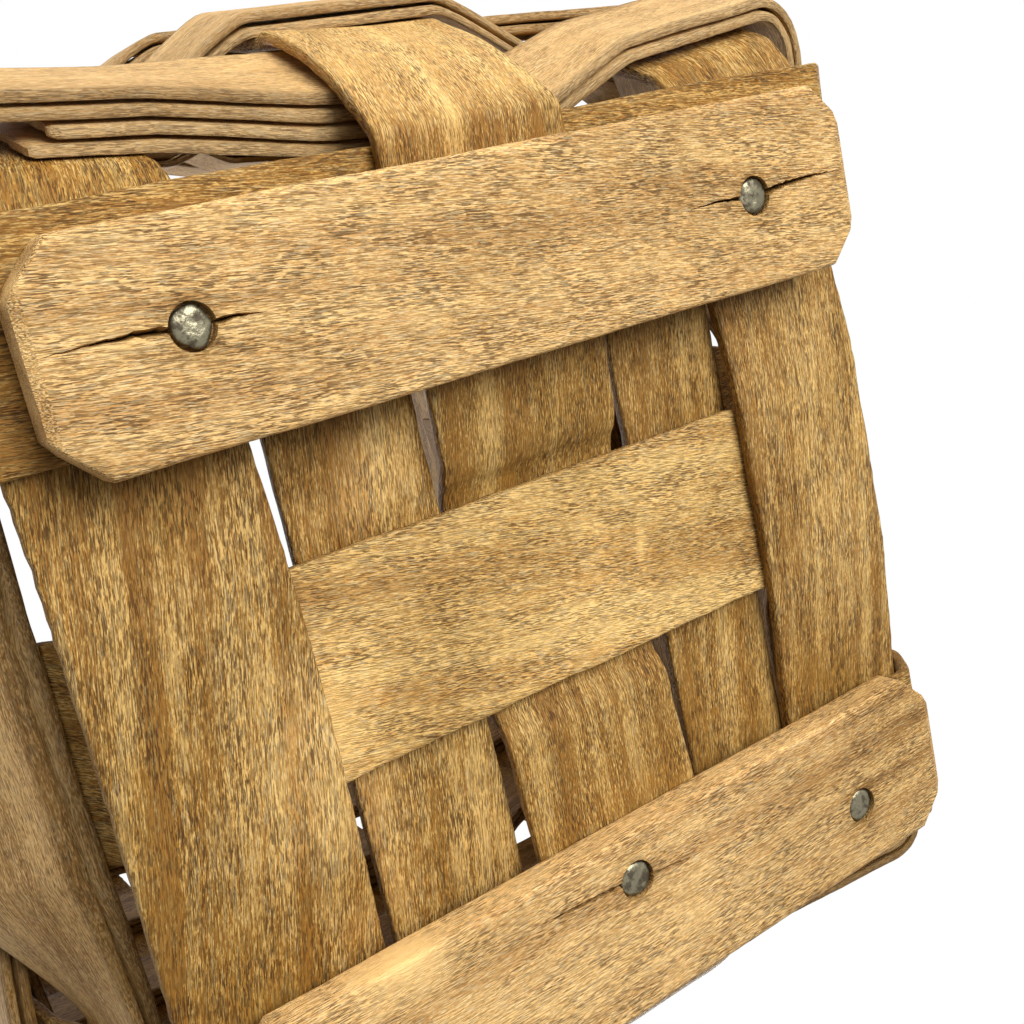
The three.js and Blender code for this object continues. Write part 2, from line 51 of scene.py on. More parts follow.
CUT_SHARP_DEGREES = 30
GRAIN_SHIFT = np.array([0.731, 0.193, 0.117])

# The stain and painted shade value runs from bare wood below 0, over full stain with painted shade at 1, to
# painted deep shade at 2.
BAREST = -0.6
DEEPEST = 1.0
KNEE_DEEPEST = 1.15
DEEP_SHADE = 2.0

Box = tuple[float, float, float, float]
Triple = tuple[float, float, float]
Screen = tuple[int, int, int]
Array = np.ndarray
Lines = list[np.ndarray]
Piece = bpy.types.Object
Mesh = bpy.types.Mesh
Socket = bpy.types.NodeSocket


class Slot(Enum):
    """The record's material slots."""

    SPLINT = "splint"
    WEAVER = "weaver"
    BAND = "band"
    RUNNER = "runner"
    NAIL = "nail"


# Soft patches on the underside, part stain and part painted light and shade: x, y, reach, and how much
# deeper the stain is there.
STAIN_AND_LIGHT_PATCHES = (
    (36.0, -3.0, 13.0, 0.3), (-41.0, 2.0, 9.0, -0.75), (-42.0, 18.0, 9.0, -0.6),
    (-43.0, 34.0, 8.0, -0.5), (-55.0, 12.0, 12.0, -0.2), (-58.0, -20.0, 9.0, -0.15),
    (-66.0, 4.0, 9.0, 0.2), (-28.0, -25.0, 8.0, -0.6), (-20.0, -32.0, 6.0, -0.25),
    (-34.0, -31.0, 5.0, 0.3), (56.0, 30.0, 12.0, 0.12), (50.0, -30.0, 10.0, 0.15),
    (60.0, 48.0, 16.0, 0.55), (-37.0, 46.0, 20.0, -0.1), (0.0, 52.0, 16.0, -0.06),
    (15.2, 10.4, 1.9, -0.75), (12.6, 10.0, 1.5, -0.65), (17.6, -2.6, 1.5, -0.6),
    (46.0, -60.0, 16.0, 0.14), (10.0, -60.0, 16.0, 0.12), (34.0, 52.0, 10.0, 0.12),
    (-8.0, -50.0, 12.0, 0.14), (30.0, -58.0, 9.0, 0.16), (-30.0, -46.0, 8.0, 0.12),
    (62.0, -50.0, 8.0, 0.1), (-62.0, -60.0, 8.0, 0.12),
)


def patched_stain_and_light(points: Array) -> Array:
    """Adds up what the patches, part stain and part painted light and shade, do to the stain value.

    Args:
        points: Points in millimetres.

    Returns:
        The change of the stain value, stain and painted light and shade together, at each point.
    """
    total = np.zeros(len(points))
    for x, y, reach, amount in STAIN_AND_LIGHT_PATCHES:
        square = (points[:, 0] - x) ** 2 + (points[:, 1] - y) ** 2
        total += amount * np.exp(-square / reach**2)
    return total * (points[:, 2] < UNDERSIDE_TOP)


def unit(vector: Array) -> Array:
    """Returns the vector or vectors at length one."""
    return vector / np.linalg.norm(vector, axis=-1, keepdims=True)


def spun(vector: Array, angle: float) -> Array:
    """Returns a vector turned about the vertical by an angle in radians."""
    c, s = math.cos(angle), math.sin(angle)
    return np.array([c * vector[0] - s * vector[1], s * vector[0] + c * vector[1], vector[2]])


def mixed(a: Array, b: Array, share: float) -> Array:
    """Returns the point at a share of the way from a to b."""
    return a + (b - a) * share


def rounded(a: Array, b: Array, c: Array, t: float) -> Array:
    """Returns the point at a share t of the curve from a to c that bends towards b."""
    return a * (1 - t) ** 2 + 2 * b * t * (1 - t) + c * t * t


def legs(line: Array) -> Array:
    """Returns the distances from each point of a line to the next."""
    return np.linalg.norm(np.diff(line, axis=0), axis=1)


@dataclass(frozen=True)
class Ripple:
    """A smooth random surface between about -1 and 1, as a sum of sine waves."""

    WAVES = 7
    PEAK = 1.4

    seed: int
    pitch_u: float
    pitch_v: float

    def __call__(self, u: Array, v: Array) -> Array:
        """Samples the surface.

        Args:
            u: Places along, in millimetres.
            v: Places across, in millimetres.

        Returns:
            The height at each place.
        """
        rng = np.random.default_rng(self.seed)
        total = np.zeros(np.broadcast(u, v).shape)
        for _ in range(self.WAVES):
            fu = rng.normal() / self.pitch_u
            fv = rng.normal() / self.pitch_v
            total = total + np.sin(2 * math.pi * (u * fu + v * fv + rng.random()))
        return total / math.sqrt(self.WAVES) / self.PEAK


@dataclass(frozen=True)
class StakeLine:
    """One stake of the base grid: its centre line, and its layers in from the outermost face."""

    name: str
    centre: float
    width: float
    end_layer: int
    middle_layer: int

    @property
    def edges(self) -> tuple[float, float]:
        """The places of its two long edges."""
        return self.centre - self.width / 2, self.centre + self.width / 2

    @property
    def is_middle(self) -> bool:
        """Whether it is the middle stake of its direction."""
        return "middle" in self.name


@dataclass(frozen=True)
class Upright:
    """One rising end of a stake, with its place along its side."""

    stake: StakeLine
    side: int
    along: float


@dataclass(frozen=True)
class Facet:
    """The level cut across an upright's outer face."""

    left: Array
    right: Array
    middle: Array
    facing: Array
    heading: Array


@dataclass(frozen=True)
class Place:
    """Where a row or band lies flat on an upright at one height."""

    side: int
    start: Array
    end: Array
    facing: Array
    heading: Array
    slope: float


@dataclass(frozen=True)
class Stop:
    """An upright that a strip passes, the share of its width used, and the strip's offset."""

    upright: Upright
    first: float
    last: float
    offset: float


@dataclass(frozen=True)
class BasketForm:
    """The basket's shared sizes in millimetres, and the lines that its pieces follow."""

    ROW_ROUNDING = 0.01

    splint: float = 1.9
    weaver: float = 1.5
    clearance: float = 0.35
    ply_gap: float = 0.6
    stake_pitch: float = 55.0
    stake_width: float = 30.6
    foot_margin: float = 0.8
    foot_tuck: float = 2.2
    foot_inset: float = 4.9
    wall_spread: float = 30.6
    wall_ease: float = 19.0
    foot_stagger: float = 9.0
    middle_stagger_gain: float = 0.8
    foot_hollow: float = 3.9
    foot_ease: float = 12.5
    side_bow: float = 7.6
    bow_ease: float = 12.0
    side_lean: float = 0.11
    foot_turn: float = 0.24
    turn_ease: float = 42.0
    row_count: int = 10
    first_row: float = 9.6
    weaver_width: float = 16.6
    row_gap: float = 1.7
    lapped: int = 2
    lap_tilt: float = 0.09
    weave_hold: float = 0.14
    rim_height: float = 17.0
    runner_thickness: float = 6.3
    stakes: tuple[StakeLine, ...] = (
        StakeLine("stake_left", -56.8, 31.6, 1, 0),
        StakeLine("stake_middle", 1.6, 32.2, 0, 2),
        StakeLine("stake_right", 55.7, 28.8, 1, 0),
    )
    cross_stakes: tuple[StakeLine, ...] = (
        StakeLine("cross_stake_front", -55.0, 30.6, 0, 1),
        StakeLine("cross_stake_middle", -2.3, 32.2, 1, 1),
        StakeLine("cross_stake_back", 55.0, 30.6, 0, 1),
    )

    @property
    def layer(self) -> float:
        """The height of one stake's splint and its clearance."""
        return self.splint + self.clearance

    @property
    def ply_layer(self) -> float:
        """The thickness of one ply of a row and the gap to the next."""
        return self.weaver + self.ply_gap

    @property
    def row_pitch(self) -> float:
        """The height from one row to the next."""
        return self.weaver_width + self.row_gap

    @property
    def base_z(self) -> float:
        """The height of the base's outermost face above the ground."""
        return self.runner_thickness + self.clearance

    @property
    def grid_half(self) -> float:
        """Half the width of the base grid."""
        return self.stake_pitch + self.stake_width / 2

    @property
    def rim_low(self) -> float:
        """The height of the rim bands' lower edge above the base."""
        return self.first_row + self.row_count * self.row_pitch

    @property
    def wall_top(self) -> float:
        """The height of the rim bands' upper edge above the base."""
        return self.rim_low + self.rim_height

    def row_low(self, row: int) -> float:
        """The height of a row's lower edge above the base."""
        return self.first_row + row * self.row_pitch

    def row_high(self, row: int) -> float:
        """The height of a row's upper edge above the base."""
        return self.row_low(row) + self.weaver_width

    @staticmethod
    def directions(side: int) -> tuple[Array, Array]:
        """The directions along a side, anticlockwise round the basket, and out of it."""
        turn = side * math.pi / 2
        return spun(np.array([1.0, 0.0, 0.0]), turn), spun(np.array([0.0, -1.0, 0.0]), turn)

    def point(self, side: int, out: float, along: float, height: float) -> Array:
        """Finds a point from its place at a side.

        Args:
            side: The side, from 0 at the front, anticlockwise.
            out: How far out it is from the basket's middle.
            along: Its place along the side.
            height: Its height above the base.

        Returns:
            The point.
        """
        onward, outward = self.directions(side)
        made = outward * out + onward * along
        made[2] = self.base_z + height
        return made

    def uprights(self) -> list[Upright]:
        """Lists the uprights.

        Returns:
            The twelve uprights in order round the basket.
        """
        found = []
        for side in range(4):
            stakes = self.stakes if side % 2 == 0 else self.cross_stakes
            sense = 1 if side < 2 else -1
            row = [Upright(stake, side, sense * stake.centre) for stake in stakes]
            found.extend(sorted(row, key=lambda upright: upright.along))
        return found

    def is_outside(self, row: int, upright: Upright) -> bool:
        """Whether a row passes outside an upright."""
        return (upright.stake.end_layer + row) % 2 == 1

    def first_upright(self, row: int) -> int:
        """The number of the upright that a row's lap starts on."""
        return 3 * (row % 4) + row % 2

    def bulges_over(self, row: int, upright: Upright) -> bool:
        """Tells whether an upright stands outside a row's lap, over its four plies.

        Args:
            row: The row, from 0 at the bottom.
            upright: The upright.

        Returns:
            Whether it does.
        """
        if row >= self.row_count or self.is_outside(row, upright):
            return False
        return self.step_of(row, upright) < self.lapped

    def step_of(self, row: int, upright: Upright) -> int:
        """The number of uprights from the start of a row's lap to an upright."""
        uprights = self.uprights()
        return (uprights.index(upright) - self.first_upright(row)) % len(uprights)

    def bow_share(self, height: float) -> float:
        """The share of the full bow that a side has at a height above the base."""
        return 1 - math.exp(-(height - self.first_row) / self.bow_ease)

    def face_depth(self, upright: Upright, height: float) -> float:
        """Finds how far an upright's outer face is from the basket's middle.

        Args:
            upright: The upright.
            height: The height above the base.

        Returns:
            The distance in millimetres.
        """
        from_middle = (upright.along / self.stake_pitch) ** 2
        mouth = self.grid_half - self.foot_inset + self.wall_spread
        wall = mouth - self.wall_spread * math.exp(-height / self.wall_ease)
        gain = 1 + self.middle_stagger_gain * (1 - from_middle)
        stagger = self.foot_stagger * (0.5 - upright.stake.end_layer) * gain
        hollow = self.foot_hollow * (1 - from_middle)
        foot = (stagger - hollow) * math.exp(-height / self.foot_ease)
        return wall + foot - self.side_bow * self.bow_share(height) * from_middle

    def lean(self, upright: Upright, height: float) -> float:
        """Finds the turn that an upright keeps over the width of one row.

        Args:
            upright: The upright.
            height: A height above the base, in the row's reach.

        Returns:
            The turn about the vertical, in radians.
        """
        row = math.floor((height - self.first_row) / self.row_pitch + self.ROW_ROUNDING)
        middle = (self.row_low(row) + self.row_high(row)) / 2
        turn = self.side_lean * self.bow_share(middle) - self.foot_turn * math.exp(-middle / self.turn_ease)
        tilt = 0.0
        if self.bulges_over(row, upright):
            tilt = self.lap_tilt * (-1 if self.step_of(row, upright) == 0 else 1)
        return turn * upright.along / self.stake_pitch + tilt

    def facet(self, upright: Upright, height: float) -> Facet:
        """Cuts an upright's outer face.

        Args:
            upright: The upright.
            height: The height of the cut above the base.

        Returns:
            The cut's ends, middle and directions.
        """
        onward, outward = self.directions(upright.side)
        middle = self.point(upright.side, self.face_depth(upright, height), upright.along, height)
        lean = self.lean(upright, height)
        facing, heading = spun(outward, lean), spun(onward, lean)
        half = heading * upright.stake.width / 2
        return Facet(middle - half, middle + half, middle, facing, heading)

    def places(self, stops: list[Stop], height: float, low: float, high: float) -> list[Place]:
        """Finds where a strip lies flat on its uprights at one of its two edges.

        Args:
            stops: The strip's stops.
            height: The edge's height above the base.
            low: The height of the strip's lower edge.
            high: The height of the strip's upper edge.

        Returns:
            One place for each stop.
        """
        found = []
        for stop in stops:
            facet = self.facet(stop.upright, height)
            rise = self.face_depth(stop.upright, high) - self.face_depth(stop.upright, low)
            slope = rise / (high - low)
            reach = facet.facing * stop.offset * math.hypot(1, slope)
            start = mixed(facet.left, facet.right, stop.first) + reach
            end = mixed(facet.left, facet.right, stop.last) + reach
            found.append(Place(stop.upright.side, start, end, facet.facing, facet.heading, slope))
        return found


@dataclass(frozen=True)
class RailMaker:
    """Draws the smooth line of a row or band through its places, held out from them."""

    form: BasketForm
    flat_steps: int = 14
    bridge_steps: int = 12
    corner_steps: int = 16

    def along_side(self, here: Place, there: Place, distance: float) -> Lines:
        """Draws the easy S from one place to the next along a side.

        Args:
            here: The place that it leaves.
            there: The place that it reaches.
            distance: How far outside them it is held.

        Returns:
            The points between the two places.
        """
        gap = float(np.linalg.norm(there.start - here.end))
        hold = self.form.weave_hold * gap
        p0, p3 = here.end, there.start
        p1, p2 = p0 + here.heading * hold, p3 - there.heading * hold
        points = []
        for step in range(1, self.bridge_steps):
            t = step / self.bridge_steps
            s = 1 - t
            curve = p0 * s**3 + 3 * p1 * s * s * t + 3 * p2 * s * t * t + p3 * t**3
            facing = mixed(here.facing, there.facing, t)
            slope = here.slope + (there.slope - here.slope) * t
            points.append(curve + facing * distance * math.hypot(1, slope))
        return points

    def round_corner(self, here: Place, there: Place, distance: float) -> Lines:
        """Draws the curve from one place to the next round a corner, at even turns.

        Args:
            here: The place that it leaves.
            there: The place that it reaches.
            distance: How far outside them it is held.

        Returns:
            The points between the two places.
        """

        def cross(a: Array, b: Array) -> float:
            """The vertical part of a cross product."""
            return a[0] * b[1] - a[1] * b[0]

        gap = there.start - here.end
        sine = cross(here.heading, there.heading)
        first_leg = cross(gap, there.heading) / sine
        last_leg = cross(here.heading, gap) / sine
        corner = here.end + here.heading * first_leg
        full_turn = math.asin(min(1.0, sine))
        if float(here.heading @ there.heading) < 0:
            full_turn = math.pi - full_turn
        points = []
        for step in range(1, self.corner_steps):
            turn = full_turn * step / self.corner_steps
            from_first = first_leg * math.sin(turn)
            from_last = last_leg * math.sin(full_turn - turn)
            t = from_first / (from_first + from_last)
            curve = rounded(here.end, corner, there.start, t)
            facing = spun(here.facing, turn)
            slope = here.slope * math.cos(turn) + there.slope * math.sin(turn)
            points.append(curve + facing * distance * math.hypot(1, slope))
        return points

    def rail(self, places: list[Place], distance: float, ring: bool = False) -> Array:
        """Draws the whole line.

        Args:
            places: The places that it lies on.
            distance: How far outside them it is held.
            ring: Whether it closes on itself.

        Returns:
            The points of the line.
        """
        points = []
        for index, here in enumerate(places):
            out = here.facing * distance * math.hypot(1, here.slope)
            start, end = here.start + out, here.end + out
            points.extend(mixed(start, end, step / self.flat_steps) for step in range(self.flat_steps))
            points.append(end)
            if not ring and index == len(places) - 1:
                break
            there = places[(index + 1) % len(places)]
            bridge = self.along_side if there.side == here.side else self.round_corner
            points.extend(bridge(here, there, distance))
        return np.array(points)

    def strip_rails(
        self,
        stops: list[Stop],
        low: float,
        high: float,
        distance: float,
        thickness: float,
        ring: bool = False,
    ) -> Lines:
        """Draws the four corner lines of a strip along the walls.

        Args:
            stops: The strip's stops.
            low: The height of its lower edge above the base.
            high: The height of its upper edge above the base.
            distance: How far its inner face is outside its stops.
            thickness: Its thickness.
            ring: Whether it closes on itself.

        Returns:
            The outer low, outer high, inner high and inner low lines.
        """
        lower = self.form.places(stops, low, low, high)
        upper = self.form.places(stops, high, low, high)
        outer = distance + thickness
        corners = ((lower, outer), (upper, outer), (upper, distance), (lower, distance))
        return [self.rail(places, held_out, ring) for places, held_out in corners]


def softened(rails: Lines, reach: float, steps: int) -> Lines:
    """Rounds the corners of several matching lines together.

    Args:
        rails: The lines, with as many points each.
        reach: How far from each point its rounding starts, in millimetres.
        steps: How many points each rounding has.

    Returns:
        The rounded lines.
    """
    lengths = legs(sum(rails) / len(rails))
    made = []
    for rail in rails:
        points = [rail[0]]
        for i in range(1, len(rail) - 1):
            before = mixed(rail[i], rail[i - 1], min(reach / lengths[i - 1], SOFTEN_LIMIT))
            after = mixed(rail[i], rail[i + 1], min(reach / lengths[i], SOFTEN_LIMIT))
            points.extend(rounded(before, rail[i], after, step / (steps - 1)) for step in range(steps))
        points.append(rail[-1])
        made.append(np.array(points))
    return made


def filled_in(rails: Lines, spacing: float) -> Lines:
    """Adds points to matching lines where they are farther apart than a spacing.

    Args:
        rails: The lines, with as many points each.
        spacing: The largest distance between points, in millimetres.

    Returns:
        The lines with the added points.
    """
    counts = np.ceil(legs(sum(rails) / len(rails)) / spacing).astype(int)
    made = []
    for rail in rails:
        points = []
        for i, count in enumerate(np.maximum(counts, 1)):
            points.extend(mixed(rail[i], rail[i + 1], step / count) for step in range(count))
        points.append(rail[-1])
        made.append(np.array(points))
    return made


def eased(rails: Lines, low: float, high: float, passes: int) -> Lines:
    """Smooths matching lines where they are above a height.

    Args:
        rails: The lines.
        low: The height at which the smoothing starts.
        high: The height from which it is full.
        passes: How many times it is done.

    Returns:
        The smoothed lines.
    """
    made = [rail.copy() for rail in rails]
    for rail in made:
        share = np.clip((rail[1:-1, 2:] - low) / (high - low), 0, 1) / 2
        for _ in range(passes):
            rail[1:-1] += share * ((rail[:-2] + rail[2:]) / 2 - rail[1:-1])
    return made


@dataclass
class Strip:
    """A bent strip of wood between four lines, with rounded edges and the marks of hand work.

    The lines are outer first, outer second, inner second and inner first, in millimetres.
    Its stain is painted lighter on the front wall, where the light falls.
    """

    # Painted light: the stain thins towards the front wall, where the light falls, from this start over
    # this reach, by this share.
    PAINTED_FRONT_LIGHT_START = 68.0
    PAINTED_FRONT_LIGHT_REACH = 7.0
    PAINTED_FRONT_LIGHT_SHARE = 0.85
    # Painted shade on the underside near what lies over a strip.
    COVER_SHADE = 0.2
    COVER_REACH = 7.0
    # Painted shade on each strip's inner half.
    INNER_SHADE = 0.3
    # Painted shade on the knees, from the low height over the reach, up to the high height.
    KNEE_LOW = 7.0
    KNEE_REACH = 6.0
    KNEE_HIGH = 40.0
    WANDER_PITCH = 46
    FRAY_PITCH = 3.2
    FACE_PITCHES = (26, 17)
    TOOTH_PITCH = 2.6
    TOOTH_REACH = 2.5
    RING_FADE = 30
    EDGE_SHARE = 0.8
    SHARP_DEGREES = 55

    name: str
    rails: Lines
    seed: int
    ring: bool = False
    edge_radius: float = 0.38
    face_steps: int = 6
    rim_step: float = 0.9
    edge_wander: float = 0.35
    edge_fray: float = 0.22
    face_wander: float = 0.07
    end_ragged: float = 0.7
    end_cut: float = 0.0
    tone: float = 0.0
    slant: float = 0.0
    knee_shades: tuple[float, float] = (0.0, 0.0)
    covers: list[Box] = field(default_factory=list)

    def section(self, widths: Array, depth: float) -> tuple[Array, Array, Array]:
        """Lays out the points round the strip's section at each station.

        Args:
            widths: The strip's width at each station.
            depth: Its thickness.

        Returns:
            Distances from the first edge, depths below the outer face, and closeness to an edge.
        """
        r = self.edge_radius
        rim = r + self.rim_step
        bend = r * (1 - math.sqrt(0.5))
        near = [(0.0, depth / 2, 1.0), (0.0, r, 1.0), (bend, bend, 1.0)]
        near += [(r, 0.0, self.EDGE_SHARE), (rim, 0.0, 0.0)]
        face = [(widths - 2 * rim) * step / self.face_steps for step in range(1, self.face_steps)]
        places = [(np.full_like(widths, a), d, e) for a, d, e in near]
        places += [(rim + a, 0.0, 0.0) for a in face]
        places += [(widths - a, d, e) for a, d, e in reversed(near)]
        places += [(a, depth - d, e) for a, d, e in places[-2:0:-1]]
        across, down, edge = zip(*places)
        return np.array(across).T, np.array(down), np.array(edge)

    def join_fade(self, ends: Array) -> Array:
        """The share of its unevenness that a ring keeps near its join, or 1 on an open strip."""
        return np.clip(ends / self.RING_FADE, 0, 1) if self.ring else np.ones_like(ends)

    def edge_insets(self, along: Array, ends: Array) -> Lines:
        """Finds how far each long edge wanders in from its line.

        Args:
            along: The stations' places along the strip.
            ends: Their distances from the nearer end.

        Returns:
            The insets of the first and the second edge.
        """
        insets = []
        for k in (0, 1):
            wander = Ripple(self.seed * 7 + k, self.WANDER_PITCH, 1)(along, 0.0)
            fray = Ripple(self.seed * 11 + k, self.FRAY_PITCH, 1)(along, 0.0)
            inset = self.edge_wander * (0.5 + 0.5 * wander) + self.edge_fray * (0.5 + 0.5 * fray)
            inset = inset * self.join_fade(ends) + np.clip(self.end_cut - ends, 0, None)
            insets.append(np.clip(inset, 0, None))
        return insets

    def stain(self, points: Array) -> Array:
        """Finds the stain and painted shade from the strip's tone, painted shade near what lies over it and
        on its knees, painted light on the front wall, and the patches.

        Args:
            points: The points in millimetres.

        Returns:
            The stain and painted shade value at each point.
        """
        x, y, z = points.T
        shade = np.zeros(len(points))
        for x0, x1, y0, y1 in self.covers:
            dx = np.maximum(np.maximum(x0 - x, x - x1), 0)
            dy = np.maximum(np.maximum(y0 - y, y - y1), 0)
            near = np.exp(-np.hypot(dx, dy) / self.COVER_REACH)
            shade = np.maximum(shade, near * (z < UNDERSIDE_TOP))
        # Painted light: the stain thins on the front wall, where the light falls.
        front_lit = np.clip((-y - self.PAINTED_FRONT_LIGHT_START) / self.PAINTED_FRONT_LIGHT_REACH, 0, 1)
        stain = self.tone * (1 - self.PAINTED_FRONT_LIGHT_SHARE * front_lit) + self.COVER_SHADE * shade
        # Painted shade on the knees, with one amount on each half of the basket.
        low, high = self.knee_shades
        knee = np.clip((z - self.KNEE_LOW) / self.KNEE_REACH, 0, 1) * (z < self.KNEE_HIGH)
        knee = knee * np.where(x + y < 0, low, high)
        return np.clip(stain + patched_stain_and_light(points), BAREST, DEEPEST) + knee

    def build(self) -> Piece:
        """Makes the strip's mesh, with its grain, its stain and painted shade, and its edge values.

        Returns:
            The new object.
        """
        first_outer, second_outer, second_inner, first_inner = self.rails
        middle = sum(self.rails) / 4
        along = np.concatenate([[0.0], np.cumsum(legs(middle))])
        length = along[-1] + (np.linalg.norm(middle[0] - middle[-1]) if self.ring else 0.0)
        ends = np.minimum(along, length - along)
        widths = np.linalg.norm(second_outer - first_outer, axis=1)
        depth = float(np.mean(np.linalg.norm(first_inner - first_outer, axis=1)))
        across, down, edge = self.section(widths, depth)
        inset_first, inset_second = self.edge_insets(along, ends)
        room = (widths - inset_first - inset_second) / widths
        across = inset_first[:, None] + across * room[:, None]
        down = np.broadcast_to(down, across.shape)
        if not self.ring:
            r = self.edge_radius
            pinch = r - np.sqrt(np.clip(r * r - (r - np.clip(ends, 0, r)) ** 2, 0, None))
            down = pinch[:, None] + down * (1 - 2 * pinch[:, None] / depth)
            across = pinch[:, None] + across * (1 - 2 * pinch[:, None] / widths[:, None])
        a = (across / widths[:, None])[..., None]
        d = (down / depth)[..., None]
        outer = first_outer[:, None] * (1 - a) + second_outer[:, None] * a
        inner = first_inner[:, None] * (1 - a) + second_inner[:, None] * a
        normal = unit(first_outer - first_inner)[:, None]
        wave = Ripple(self.seed * 3 + 1, *self.FACE_PITCHES)(along[:, None], across)
        wave = wave * self.join_fade(ends)[:, None]
        points = outer * (1 - d) + inner * d + normal * (wave * self.face_wander)[..., None]
        if not self.ring and self.end_ragged:
            points = self.ragged(points, middle, along, across)
        return self.mesh(points, along, across - widths[:, None] / 2, down, edge)

    def ragged(self, points: Array, middle: Array, along: Array, across: Array) -> Array:
        """Draws an open strip's two ends back unevenly, as splints break.

        Args:
            points: The points by station and place in the section.
            middle: The strip's middle line.
            along: The stations' places along the strip.
            across: The points' places across the strip.

        Returns:
            The moved points.
        """
        for end, (here, inside) in enumerate(((0, 1), (-1, -2))):
            tooth = Ripple(self.seed * 13 + end, 1, self.TOOTH_PITCH)(0.0, across[here])
            back = unit(middle[inside] - middle[here])
            from_end = along if end == 0 else along[-1] - along
            fade = np.clip(1 - from_end / (self.TOOTH_REACH * self.end_ragged), 0, 1)
            move = self.end_ragged * (0.5 + 0.5 * tooth)
            points = points + (fade[:, None] * move[None, :])[..., None] * back
        return points

    def mesh(self, points: Array, along: Array, across: Array, down: Array, edge: Array) -> Piece:
        """Joins the points into one closed mesh.

        Args:
            points: The points by station and place in the section.
            along: The stations' places along the strip.
            across: The points' places across it, from its middle.
            down: The points' depths below its outer face.
            edge: How close each place in the section is to an edge.

        Returns:
            The new object.
        """
        count, round_count = points.shape[:2]
        i = np.arange(count if self.ring else count - 1)[:, None]
        j = np.arange(round_count)[None, :]
        here, ahead = i * round_count, (i + 1) % count * round_count
        beside = (j + 1) % round_count
        corners = np.broadcast_arrays(here + j, ahead + j, ahead + beside, here + beside)
        faces = np.stack(corners, axis=-1).reshape(-1, 4).tolist()
        if not self.ring:
            faces += self.caps(round_count, 0, False)
            faces += self.caps(round_count, (count - 1) * round_count, True)
        flat = points.reshape(-1, 3)
        mesh = new_mesh(self.name, flat, faces)
        whole = np.broadcast_to(along[:, None], across.shape)
        inner = (down > down.max() / 2).reshape(-1)
        values = {
            "grain": grain_places(whole, across + self.slant * whole, down, self.seed).reshape(-1, 3),
            "stain": np.clip(self.stain(flat) + self.INNER_SHADE * inner, BAREST, KNEE_DEEPEST),
            "edge": np.broadcast_to(edge, across.shape).reshape(-1),
        }
        set_values(mesh, values)
        return finished(self.name, mesh, self.SHARP_DEGREES)

    @staticmethod
    def caps(round_count: int, base: int, reverse: bool) -> list[list[int]]:
        """Lists the faces that close one end of a strip.

        Args:
            round_count: How many points its section has.
            base: The number of the end's first point.
            reverse: Whether the faces turn the other way round.

        Returns:
            The faces.
        """
        half = round_count // 2
        faces = [[base, base + 1, base + round_count - 1]]
        for k in range(1, half - 1):
            low, high = base + round_count - k, base + round_count - k - 1
            faces.append([base + k, base + k + 1, high, low])
        faces.append([base + half - 1, base + half, base + half + 1])
        return [face[::-1] for face in faces] if reverse else faces


def grain_places(along: Array, across: Array, down: Array, seed: int) -> Array:
    """Returns the places in the grain of points given in millimetres, moved on by a seed."""
    return np.stack([along, across, down], axis=-1) * MM + seed * GRAIN_SHIFT


def new_mesh(name: str, points: Array, faces: list[list[int]]) -> Mesh:
    """Makes a mesh.

    Args:
        name: Its name.
        points: Its points in millimetres.
        faces: The numbers of the points round each face.

    Returns:
        The new mesh.
    """
    mesh = bpy.data.meshes.new(name)
    mesh.from_pydata((points * MM).tolist(), [], faces)
    return mesh


def tube_faces(rings: int, sides: int) -> list[list[int]]:
    """Lists the faces between rings of points that follow each other.

    Args:
        rings: How many rings there are.
        sides: How many points each ring has.

    Returns:
        The faces.
    """
    faces = []
    for start in range(0, (rings - 1) * sides, sides):
        for k in range(sides):
            a, b = start + k, start + (k + 1) % sides
            faces.append([a, b, b + sides, a + sides])
    return faces


def vertex_places(mesh: Mesh) -> Array:
    """Reads the places of a mesh's points.

    Args:
        mesh: The mesh.

    Returns:
        The points in metres.
    """
    found = np.zeros(len(mesh.vertices) * 3)
    mesh.vertices.foreach_get("co", found)
    return found.reshape(-1, 3)


def linked(name: str, data: bpy.types.ID) -> Piece:
    """Makes an object and puts it in the scene.

    Args:
        name: Its name.
        data: Its mesh, lamp or camera.

    Returns:
        The new object.
    """
    made = bpy.data.objects.new(name, data)
    bpy.context.scene.collection.objects.link(made)
    return made


def set_values(mesh: Mesh, values: dict[str, Array]) -> None:
    """Stores named values on a mesh's points.

    Args:
        mesh: The mesh.
        values: Arrays of numbers or of vectors, one row for each point.
    """
    for name, array in values.items():
        is_vector = array.ndim == 2
        kind, key = ("FLOAT_VECTOR", "vector") if is_vector else ("FLOAT", "value")
        layer = mesh.attributes.new(name, kind, "POINT")
        layer.data.foreach_set(key, np.ascontiguousarray(array, dtype=np.float32).ravel())


def finished(name: str, mesh: Mesh, sharp_degrees: float) -> Piece:
    """Turns a closed mesh's faces outward, smooths it and links it as an object.

    Args:
        name: The object's name.
        mesh: The mesh.
        sharp_degrees: The angle above which an edge stays sharp.

    Returns:
        The new object.
    """
    mesh.update()
    mesh.calc_loop_triangles()
    triangles = np.zeros(len(mesh.loop_triangles) * 3, dtype=int)
    mesh.loop_triangles.foreach_get("vertices", triangles)
    a, b, c = vertex_places(mesh)[triangles.reshape(-1, 3)].transpose(1, 0, 2)
    if float(np.einsum("ij,ij->i", a, np.cross(b, c)).sum()) < 0:
        mesh.flip_normals()
    mesh.shade_smooth()
    mesh.set_sharp_from_angle(angle=math.radians(sharp_degrees))
    return linked(name, mesh)


def dress(piece: Piece, node: str, material: bpy.types.Material) -> None:
    """Gives a piece its material and puts it in a CAD node's stead.

    Args:
        piece: The new piece.
        node: The CAD node that it stands for.
        material: Its material.
    """
    piece.data.materials.clear()
    piece.data.materials.append(material)
    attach(piece, "root")
    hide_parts(node)
    LOG.info("%s: %d faces", piece.name, len(piece.data.polygons))


